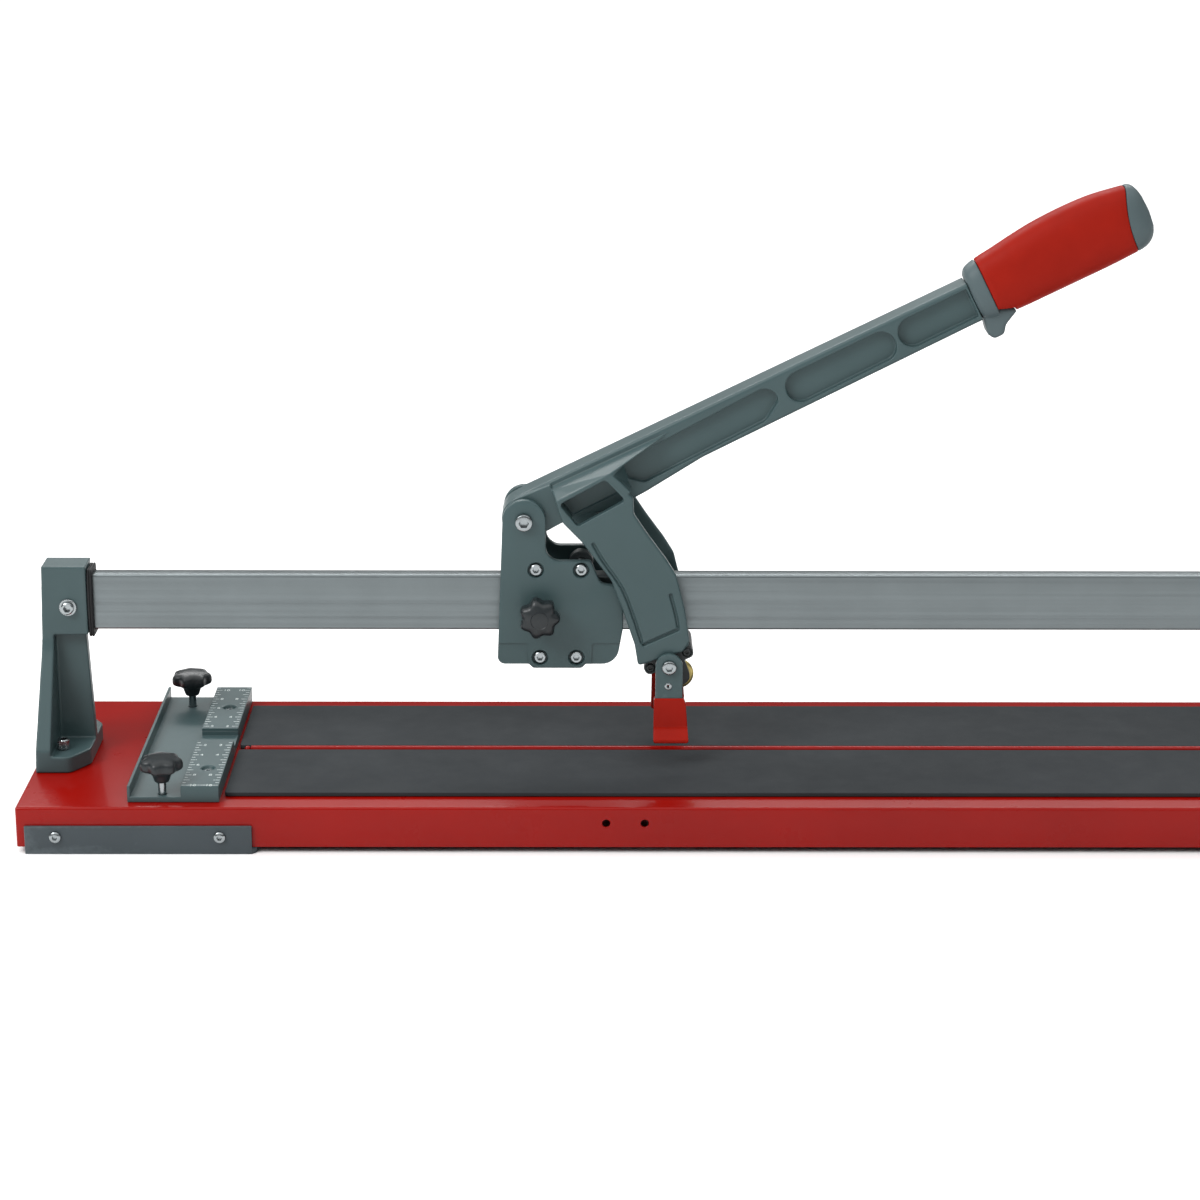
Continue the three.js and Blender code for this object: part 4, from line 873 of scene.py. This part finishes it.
def lock_knob():
    """Lobed knob on the carriage's front, with the stud and the pad that it pushes."""
    head = [(7.4, -1.2, 0), (9, -0.4, 0.3), (12.4, 0.3, 1.5), (13.9, 1.2, 2.2), (14.4, 2.6, 2.5),
            (14.4, 9, 2.5), (14.0, 10.6, 2.4), (12.8, 12, 1.9), (10.2, 13, 0.9), (7.4, 13.5, 0.2),
            (6.2, 13.8, 0), (5.8, 13.4, 0), (3, 13.8, 0), (0.6, 13.9, 0)]
    low, high = box_of("lock_knob")
    stud = centre_of("lock_stud")
    line = (stud.x, 0, stud.z)
    knob = star_head([(6.4, 0, 0), (6.8, 0.4, 0)], high.y - low.y - 14, head, ORIGIN, "y")
    knob = moved(mirrored(knob, "y"), (stud.x, high.y, stud.z))
    stand_in("lock_knob", cut(knob, rod(3.2, high.y + 1, -44.4, "y", line, 32)), smooth=50)
    low, high = box_of("lock_stud")
    stand_in("lock_stud", pin(3, low.y, high.y, 0.4, line, FINE))
    low, high = box_of("brake_pad")
    pad = [(0, low.y), (5.2, low.y), (6, low.y + 0.6), (6, high.y - 0.2), (5.8, high.y), (0, high.y)]
    stand_in("brake_pad", lathe(pad, "y", line))


# ---------- carriage ----------
def placed(points):
    return [(PIVOT.x + p[0], PIVOT.z + p[1], *p[2:]) for p in points]


def carriage_plates():
    """Plates on both sides of the rail, with countersunk bolt holes; the front one also holds the lock."""
    out, inn, ear, sides = 23.5, 17.5, 15, 32
    arc = [(ear * math.cos(a), ear * math.sin(a), 0) for a in [math.pi * k / sides for k in range(1, sides)]]
    skin = rounded(placed(
        [(ear, 0, 0)] + arc + [(-ear, 0, 0), (-18.6, -93, 0), (-19, -103.9, 11), (3, -103.9, 1.5),
                               (6, -106.9, 3), (40, -106.9, 3), (43, -103.9, 1.5), (64.4, -103.9, 12),
                               (68.9, -78, 4), (68.9, -48, 5), (53, -45, 6), (46.6, -28.7, 3),
                               (ear, -28.7, 10)]), 8)
    tools = [rod(4.6, -out - 1, -inn + 1, "y", (PIVOT.x, 0, PIVOT.z))]
    sink = [(0, -out - 1), (6.0, -out - 1), (6.0, -out), (5.4, -out + 0.8), (5.4, -out + 3.4),
            (2.8, -out + 3.4), (2.8, -inn + 1), (0, -inn + 1)]
    for level, drop in BOLT_DROP.items():
        for end in ENDS:
            at = centre_of(f"{level}_bearing_{end}")
            tools.append(lathe(sink, "y", (at.x, 0, at.z - drop), 48))
    steps = (((-24, -88.4), (2.4, -88.4, 2), (2.4, -108), (-24, -108)),
             ((47, -88.4, 2), (74, -88.4), (74, -108), (47, -108)))
    tools += [prism(rounded(placed(corners), 5), "y", -out - 1, -out + 1.0) for corners in steps]
    rear = cut(plate(skin, "y", -out, -inn, 0.9), *tools)
    stud = centre_of("lock_stud")
    front = cut(rear.copy(), rod(3.3, -out - 2, -inn + 1, "y", (stud.x, 0, stud.z)))
    stand_in("carriage_plate_front", front)
    stand_in("carriage_plate_rear", mirrored(rear, "y"))


def return_spring():
    low, high = box_of("return_spring")
    middle = (low + high) / 2
    wire, turns = 1.0, 2.5
    radius = (high.x - low.x) / 2 - wire
    first, last = low.y + wire, high.y - wire
    steps, sides = 120, 12
    rings = []
    for k in range(steps + 1):
        turn = 2 * math.pi * turns * k / steps
        outward = Vector((math.cos(turn), 0, math.sin(turn)))
        centre = Vector((middle.x, first + (last - first) * k / steps, middle.z)) + outward * radius
        rings.append([centre + outward * wire * math.cos(a) + Vector((0, wire * math.sin(a), 0))
                      for a in [2 * math.pi * i / sides for i in range(sides)]])
    stand_in("return_spring", loft(rings), smooth=60)


# ---------- handle ----------
def arm_frame(mesh):
    """From the arm's own frame (along, across, up) to the part's frame."""
    mesh.transform(Matrix.Translation((PIVOT.x, 0, PIVOT.z)) @ Matrix.Rotation(-ARM_ANGLE, 4, "Y"))
    return mesh


def ribbon(path, width):
    """Closed outline of a strip that follows an open path."""
    points = [Vector(p) for p in path]
    near, far = [], []
    for i, point in enumerate(points):
        along = (points[min(i + 1, len(points) - 1)] - points[max(i - 1, 0)]).normalized()
        side = Vector((-along.y, along.x)) * width / 2
        near.append(point + side)
        far.append(point - side)
    return near + far[::-1]


def smooth_path(points, steps=6):
    """Catmull-Rom curve through the points of an open path."""
    points = [Vector(p) for p in points]
    padded = [2 * points[0] - points[1]] + points + [2 * points[-1] - points[-2]]
    result = []
    for a, b, c, d in zip(padded, padded[1:], padded[2:], padded[3:]):
        for k in range(steps):
            t = k / steps
            result.append(0.5 * (2 * b + (c - a) * t + (2 * a - 5 * b + 4 * c - d) * t * t
                                 + (3 * b - a - 3 * c + d) * t ** 3))
    return result + [points[-1]]


def shoulder():
    """Sloping side of the saddle, from the arm out to the leg wall, on the front side."""
    outer, inner = -31, -11
    rings = [[(27, outer, -13), (27.4, outer, 4.4), (69, outer, 5.5), (69.8, outer, 4.6), (70.4, outer, 3.2),
              (76, outer, -13)],
             [(26, inner, -13), (26, inner, 12.1), (119, -12.2, 9.6), (95, -11.5, 6.8), (79, -11.5, 4.0),
              (76.5, inner, -13)]]
    return loft([[Vector(p) for p in ring] for ring in rings])


def arm_pockets():
    wedge = [(77, 4.5, 6), (77, -8, 5), (86, -15.5, 5), (180, -14, 11), (197, -3, 9), (190, 8, 9)]
    middle = [(201.5, -14, 10.5), (283.4, -13.6, 10.5), (283.4, 8, 10.5), (201.5, 8.2, 10.5)]
    end = [(286.5, -13.5, 10.5), (341.4, -13.5, 1), (341.4, 7.6, 1), (286.5, 7.8, 10.5)]
    floor, out = 7.4, 15
    spans = ((-out, -floor), (floor, out))
    return [prism(rounded(p, 8), "y", *span) for p in (wedge, middle, end) for span in spans]


def leg_wall():
    """Front leg: curved wall past the rail, with a groove along its left, lower and right sides."""
    out, inn, groove_width = 31, 24.3, 2.2
    wall = plate(rounded(placed([
        (21.6, 16.4, 2), (26.9, 0.6, 8), (40.1, -13.1, 10), (60.4, -40.4, 20), (68.6, -62.3, 20),
        (77, -87.3, 6), (79.5, -102.8, 2), (110.9, -92.4, 3), (115.6, -85, 2), (112, -62.2, 20),
        (105.6, -36.7, 10),
        (98.5, -25.2, 6), (85.4, -7.2, 8), (76, 7, 6), (75.6, 18, 3), (59.1, 36.1, 2)]), 8),
        "y", -out, -inn, 1.4)
    left = smooth_path([(47.5, -13.5), (55, -26.5), (68, -46), (76.3, -67.5), (82.6, -87.6)], 8)
    right = smooth_path([(107.6, -76), (105.6, -65.5), (101.6, -50)], 6)
    path = [point + Vector((PIVOT.x, PIVOT.z)) for point in left + right]
    return cut(wall, prism(ribbon(path, groove_width), "y", -out - 2, -out + 2))


def handle_casting():
    """Arm, hub, saddle and both legs, poured as one piece."""
    hub_y, hub_r, deep, pivot = 17, 15.5, 9, (PIVOT.x, 0, PIVOT.z)
    beam = prism(rounded([(0, -15.5), (28, -16, 10), (58, -23, 8), (84, -22, 20), (130, -17.6, 30),
                          (350, -17.3), (350, 10.9), (8, 15.5), (0, 15.5)], 8), "y", -13, 13)
    beam = cut(bevelled(beam, 2.4, 4, 40), slab((343, 400), (-20, 20), (-30, 30)), *arm_pockets())
    tang = slab((342, 452), (-7, 7), (-10, 8))
    cheek = prism([(0, -15.5), (30, -14), (27, 13.5), (0, 15.5)], "y", -hub_y, deep)
    belly = prism([(27, -14), (46, -14), (46, -25), (31, -24)], "y", -12.8, 12.8)
    parts = [tang, cheek, belly, shoulder(), mirrored(shoulder(), "y")]
    arm = fuse(arm_frame(beam), *[arm_frame(part) for part in parts])
    hub = bevelled(rod(hub_r, -hub_y, deep, "y", pivot, FINE), 0.8, 2)
    leg = leg_wall()
    rear_leg = mirrored(leg, "y")
    bottom = prism(placed([(86, -86.3), (80.5, -101.5), (81.5, -102.2), (110.6, -92.3), (115, -87.5),
                           (114.8, -86.3)]), "y", -30, 30)
    body = fuse(arm, hub, leg, rear_leg, bottom)
    window = rounded(placed([(24.4, 14, 2.5), (56, 31.6, 2.5), (70.2, 16.9, 2.5), (37.2, -1.8, 2.5)]), 6)
    bore = rod(4.35, -20, 20, "y", pivot)
    spring_room = rod(16.6, 9.2, 19, "y", pivot)
    slot = prism([leg_point(-10.3, -3), leg_point(10.3, -3), leg_point(10.3, -12.4), leg_point(-10.3, -12.4)],
                 "y", -6.3, 6.3)
    body = cut(body, prism(window, "y", -36, -14), prism(window, "y", 14, 36), bore, spring_room, slot)
    stand_in("handle_casting", cast(body, 0.45, 2, 0.28), smooth=60)


def between(table, x):
    """Smooth curve through a table of (x, y): cubic with the neighbours' slopes."""
    if x <= table[0][0]:
        return table[0][1]
    for i, ((x0, y0), (x1, y1)) in enumerate(zip(table, table[1:])):
        if x <= x1:
            before = table[max(i - 1, 0)]
            after = table[min(i + 2, len(table) - 1)]
            m0 = (y1 - before[1]) / (x1 - before[0]) * (x1 - x0)
            m1 = (after[1] - y0) / (after[0] - x0) * (x1 - x0)
            t = (x - x0) / (x1 - x0)
            return ((2 * t ** 3 - 3 * t * t + 1) * y0 + (t ** 3 - 2 * t * t + t) * m0
                    + (3 * t * t - 2 * t ** 3) * y1 + (t ** 3 - t * t) * m1)
    return table[-1][1]


# The grip's outline: (place along the arm, reach from the arm's axis) upwards, downwards and sideways.
GRIP_TOP = [(343.3, 15.2), (347, 18.6), (355, 20.8), (370, 22.6), (385, 24.6), (402, 26.2), (425, 26.5),
            (444, 25.3), (467, 21.2)]
GRIP_BOTTOM = [(343.3, -17.2), (347, -19.8), (355, -21.4), (370, -22.8), (390, -23.1), (415, -23.4),
               (440, -23.6), (464, -23.0)]
GRIP_SIDE = [(343.3, 14), (347, 16), (355, 16.6), (370, 17.3), (390, 18.0), (415, 18.4), (440, 17.8),
             (464, 16.4)]
# The cap's edge follows a slanted curve across the grip; CAP_END is its tip.
CAP_MIDDLE, CAP_SLANT, CAP_BOW, CAP_END = 458.5, 4.6, 3.3, 475.0


def grip_ring(place, scale=1.0, sides=72):
    """Section of the grip, a squared oval; place(share of height) gives each point's place along the arm."""
    square, square_up, lean = 0.62, 0.74, 0.10
    ring = []
    for i in range(sides):
        turn = 2 * math.pi * i / sides
        c, s = math.cos(turn), math.sin(turn)
        across = math.copysign(abs(c) ** square, c)
        up = math.copysign(abs(s) ** square_up, s)
        u = place(up)
        top, bottom, side = (between(t, min(u, GRIP_TOP[-1][0])) for t in (GRIP_TOP, GRIP_BOTTOM, GRIP_SIDE))
        middle, half = (top + bottom) / 2, (top - bottom) / 2
        narrowed = 1 - lean * max(0.0, up)
        ring.append(Vector((u, side * across * narrowed * scale, middle + half * up * scale)))
    return ring


def cap_edge(up):
    return CAP_MIDDLE + CAP_SLANT * up + CAP_BOW * up * up


def grip_sleeve():
    """Soft sleeve with turned-in ends; it ends along the cap's slanted edge."""
    start, stations = 355.2, 26
    rings = [grip_ring(lambda up: start, 0.965), grip_ring(lambda up: start + 0.15, 0.985)]
    for k in range(stations + 1):
        share = k / stations
        rings.append(grip_ring(lambda up, f=share: (start + 0.7) * (1 - f) + (cap_edge(up) - 0.8) * f))
    rings.append(grip_ring(lambda up: cap_edge(up) - 0.25, 0.985))
    rings.append(grip_ring(lambda up: cap_edge(up) - 0.1, 0.965))
    liner = slab((300, 500), (-10.3, 10.3), (-13.3, 11.3))
    beside = prism([(350, -14.6), (355.25, -14.6), (366.4, -19.2), (366.4, -26), (350, -26)], "y", -20, 20)
    stand_in("grip_sleeve", arm_frame(cut(loft(rings), liner, beside)), edge=0.25, smooth=50)


def grip_core():
    """Hard core: collar with a finger horn, liner under the sleeve, and a domed end cap."""
    collar_rings = [(343.3, 0.93), (344.2, 0.985), (345.5, 1.0), (347, 1.0), (349, 1.0), (351, 1.0),
                    (353, 1.0), (354.3, 0.995), (354.9, 0.98)]
    collar = loft([grip_ring(lambda up, s=u: s, k) for u, k in collar_rings])
    horn = prism(rounded([(343.3, -12), (343.3, -18, 4), (341.6, -28.5, 4), (344.4, -33.6, 4),
                          (352, -33.6, 4), (356, -28, 6), (366, -23, 1), (366, -19.5), (354.9, -15),
                          (354.9, -12)], 8),
                 "y", -10, 10)
    liner = slab((354, 456), (-10, 10), (-13, 11))
    tang_room = slab((300, 452.3), (-7.3, 7.3), (-10.3, 8.3))
    collar = cast(cut(fuse(collar, bevelled(horn, 2.6, 4, 35), liner), tang_room), 0.5, 2, 0.35)
    steps, roundness = 12, 2.5
    rings = [grip_ring(lambda up: cap_edge(up) + 0.1, 0.965)]
    for k in range(steps):
        share = k / steps
        scale = (1 - share ** roundness) ** (1 / roundness)
        rings.append(grip_ring(
            lambda up, f=share: cap_edge(up) + 0.35 + (CAP_END - cap_edge(up) - 0.35) * f, scale))
    rings.append(grip_ring(lambda up: CAP_END, 0.12))
    stand_in("grip_core", arm_frame(joined([collar, loft(rings)])), smooth=50)


# ---------- scoring and breaking head ----------
def leg_point(across, along):
    c, s = math.cos(LEG_TILT), math.sin(LEG_TILT)
    return Vector((FOOT.x + across * c + along * s, FOOT.z + across * s - along * c))


def leg_shape(points, steps=6):
    return rounded([(*leg_point(p[0], p[1]), *p[2:]) for p in points], steps)


def wheel_holder():
    """Block between the legs with the wheel's fork, its two clamping pins and the wheel's axle."""
    pin_across, pin_socket = 14, 2.6
    wheel = centre_of("scoring_wheel")
    at_wheel = (wheel.x, 0, wheel.z)
    head = prism(leg_shape([(-18.5, -4.4, 4), (18.5, -4.4, 4), (18.5, 4.6, 4), (-18.5, 4.6, 4)]),
                 "y", -19.9, 19.9)
    tongue = prism(leg_shape([(-9.9, 0), (9.9, 0), (9.9, -11.8), (-9.9, -11.8)]), "y", -6, 6)
    neck = prism(leg_shape([(-9.5, 0), (9.5, 0), (7.5, 25.5, 7), (-7.5, 25.5, 7)]), "y", -6, 6)
    tools = [rod(11.7, -1.7, 1.7, "y", at_wheel, FINE),
             prism(leg_shape([(-10, 18), (10, 18), (12, 40), (-12, 40)]), "y", -1.7, 1.7),
             rod(2.1, -7, 7, "y", at_wheel, 32),
             rod(3.1, -21, 21, "y", (FOOT.x, 0, FOOT.z))]
    pins = [leg_point(across, 0) for across in (-pin_across, pin_across)]
    tools += [rod(3.3, -21, 21, "y", (x, 0, z)) for x, z in pins]
    stand_in("wheel_holder", cut(fuse(head, neck, tongue), *tools), edge=0.3)
    for end, (x, z) in zip(ENDS, pins):
        low, high = box_of(f"holder_pin_{end}")
        made = cut(pin(3, low.y, high.y, 0.6, (x, 0, z)), hex_socket(pin_socket, "y", (x, low.y - 0.5, z), 2))
        stand_in(f"holder_pin_{end}", made, edge=0.1)
    low, high = box_of("wheel_axle")
    stand_in("wheel_axle", pin(1.8, low.y, high.y, 0.3, at_wheel))


def scoring_wheel():
    low, high = box_of("scoring_wheel")
    r, w, bore, rim = (high.z - low.z) / 2, (high.y - low.y) / 2, 1.86, 0.08
    hub, dish = r * 0.36, w - 0.25
    disc = both_ways([(bore, w), (hub, w), (hub, dish), (r - 2.2, dish), (r - 2, w), (r - 1.6, w), (r, rim)])
    stand_in("scoring_wheel", lathe(disc, "y", (low + high) / 2, 96))


def feet():
    """Links that hang from the foot bolt on both sides, each with a dipped shoe."""
    low, high = box_of("foot_link_front")
    half, steps = (high.x - low.x) / 2, 24
    arc = [Vector((FOOT.x + half * math.cos(a), FOOT.z + half * math.sin(a)))
           for a in [math.pi * k / steps for k in range(steps + 1)]]
    outline = arc + [Vector((FOOT.x - half, low.z)), Vector((FOOT.x + half, low.z))]
    rivet = centre_of("foot_rivet")
    tools = [rod(3.3, low.y - 1, high.y + 1, "y", (FOOT.x, 0, FOOT.z)),
             rod(1.9, low.y - 1, high.y + 1, "y", (rivet.x, 0, rivet.z), 32)]
    link_mesh = cut(prism(outline, "y", low.y, high.y), *tools)
    stand_in_pair("foot_link", ROWS, link_mesh, "y", edge=0.55, segments=3)
    stand_in_pair("foot_shoe", ROWS, foot_shoe(), "y", smooth=60)


def foot_shoe():
    """Dipped shoe: flares to one side and turns out at its foot."""
    low, high = box_of("foot_shoe_front")
    link_low, link_high = box_of("foot_link_front")
    top, bottom, inn, out = high.z, low.z, high.y, low.y + 5
    side = rounded([(FOOT.x - 10.4, top, 1), (FOOT.x - 10.8, bottom, 2), (FOOT.x + 14, bottom, 2),
                    (FOOT.x + 11.8, top - 4, 4), (FOOT.x + 10.2, top, 1)], 5)
    section = rounded([(out, top, 1), (out, bottom + 10, 5), (low.y, bottom + 2.4, 2), (low.y, bottom, 1),
                       (inn, bottom, 1), (inn, top, 0.5)], 6)
    solid = keep_common(prism(side, "y", low.y - 1, high.y + 1),
                        prism(section, "x", FOOT.x - 20, FOOT.x + 20))
    slot = slab((link_low.x - GAP, link_high.x + GAP), (link_low.y - GAP, link_high.y + GAP),
                (link_low.z - GAP, top + 2))
    return cast(cut(solid, slot), 0.35, 2, 0.4)


# ---------- assembly ----------
for build in (
    bracket_screws, support_bolts, rail_clamp_bolts, fence_screws, bearing_axles, ball_bearings,
    pivot_bolt, foot_pivot_bolt, foot_rivet, base_pan, breaking_ridge, mats, rail, end_supports,
    rail_grommets, fence, fence_knobs, lock_knob, carriage_plates, return_spring, handle_casting,
    grip_sleeve, grip_core, wheel_holder, scoring_wheel, feet,
):
    build()
for node, width in (("foot_bracket_left", 0.5), ("foot_bracket_right", 0.5), ("base_stiffener", 0.3)):
    soften_node(node, width)


# ---------- studio ----------
def area_light(name, location, target, size, power, color=(1, 1, 1)):
    data = bpy.data.lights.new(name, "AREA")
    data.shape = "RECTANGLE"
    data.size, data.size_y = size
    data.energy = power
    data.color = color
    obj = in_scene(name, data)
    obj.location = location
    obj.rotation_euler = (Vector(target) - Vector(location)).to_track_quat("-Z", "Y").to_euler()


def studio_floor():
    reach = 60
    mesh = bpy.data.meshes.new("studio_floor")
    corners = [(-reach, -reach, 0), (reach, -reach, 0), (reach, reach, 0), (-reach, reach, 0)]
    mesh.from_pydata(corners, [], [(0, 1, 2, 3)])
    floor = in_scene("studio_floor", mesh)
    material, _, shader = new_material("studio_floor")
    shader.inputs["Base Color"].default_value = (0.94, 0.94, 0.94, 1)
    shader.inputs["Roughness"].default_value = 0.9
    shader.inputs["Specular IOR Level"].default_value = 0.0
    mesh.materials.append(material)


def studio_world():
    """Sky that is bright overhead and dim near the horizon, like a soft box above a dark room."""
    world = bpy.data.worlds.new("studio_world")
    world.use_nodes = True
    tree = world.node_tree
    coords = tree.nodes.new("ShaderNodeTexCoord")
    split = tree.nodes.new("ShaderNodeSeparateXYZ")
    link(tree, coords, "Generated", split, "Vector")
    sky = tree.nodes.new("ShaderNodeValToRGB")
    stops = [(0.0, 0.08), (0.32, 0.10), (0.60, 1.35), (1.0, 1.5)]
    while len(sky.color_ramp.elements) < len(stops):
        sky.color_ramp.elements.new(0.5)
    for element, (position, value) in zip(sky.color_ramp.elements, stops):
        element.position = position
        element.color = (*grey(value), 1)
    link(tree, split, "Z", sky, "Fac")
    link(tree, sky, "Color", tree.nodes["Background"], "Color")
    tree.nodes["Background"].inputs["Strength"].default_value = 1.0
    bpy.context.scene.world = world


def studio_camera():
    data = bpy.data.cameras.new("camera")
    data.sensor_width = 36
    data.lens = 86.81
    data.clip_end = 60
    obj = in_scene("camera", data)
    place = (-0.3649, -1.9526, 0.7477)
    pitch, yaw, roll = (math.radians(angle) for angle in (17.097, 0.395, 0.184))
    up = Vector((0, 0, 1))
    level = Vector((math.sin(yaw), math.cos(yaw), 0))
    right = Vector((math.cos(yaw), -math.sin(yaw), 0))
    forward = level * math.cos(pitch) - up * math.sin(pitch)
    raised = level * math.sin(pitch) + up * math.cos(pitch)
    side = right * math.cos(roll) + raised * math.sin(roll)
    top = raised * math.cos(roll) - right * math.sin(roll)
    basis = Matrix((side, top, -forward)).transposed().to_4x4()
    obj.matrix_world = Matrix.Translation(place) @ basis
    bpy.context.scene.camera = obj


studio_floor()
studio_world()
studio_camera()
area_light("key", (-2.4, -1.7, 2.3), (-0.3, 0, 0.15), (1.3, 1.1), 62)
area_light("strip", (-0.5, 2.3, 1.75), (-0.4, 0, 0.1), (3.0, 0.35), 30)
bpy.context.scene.view_settings.view_transform = "Standard"
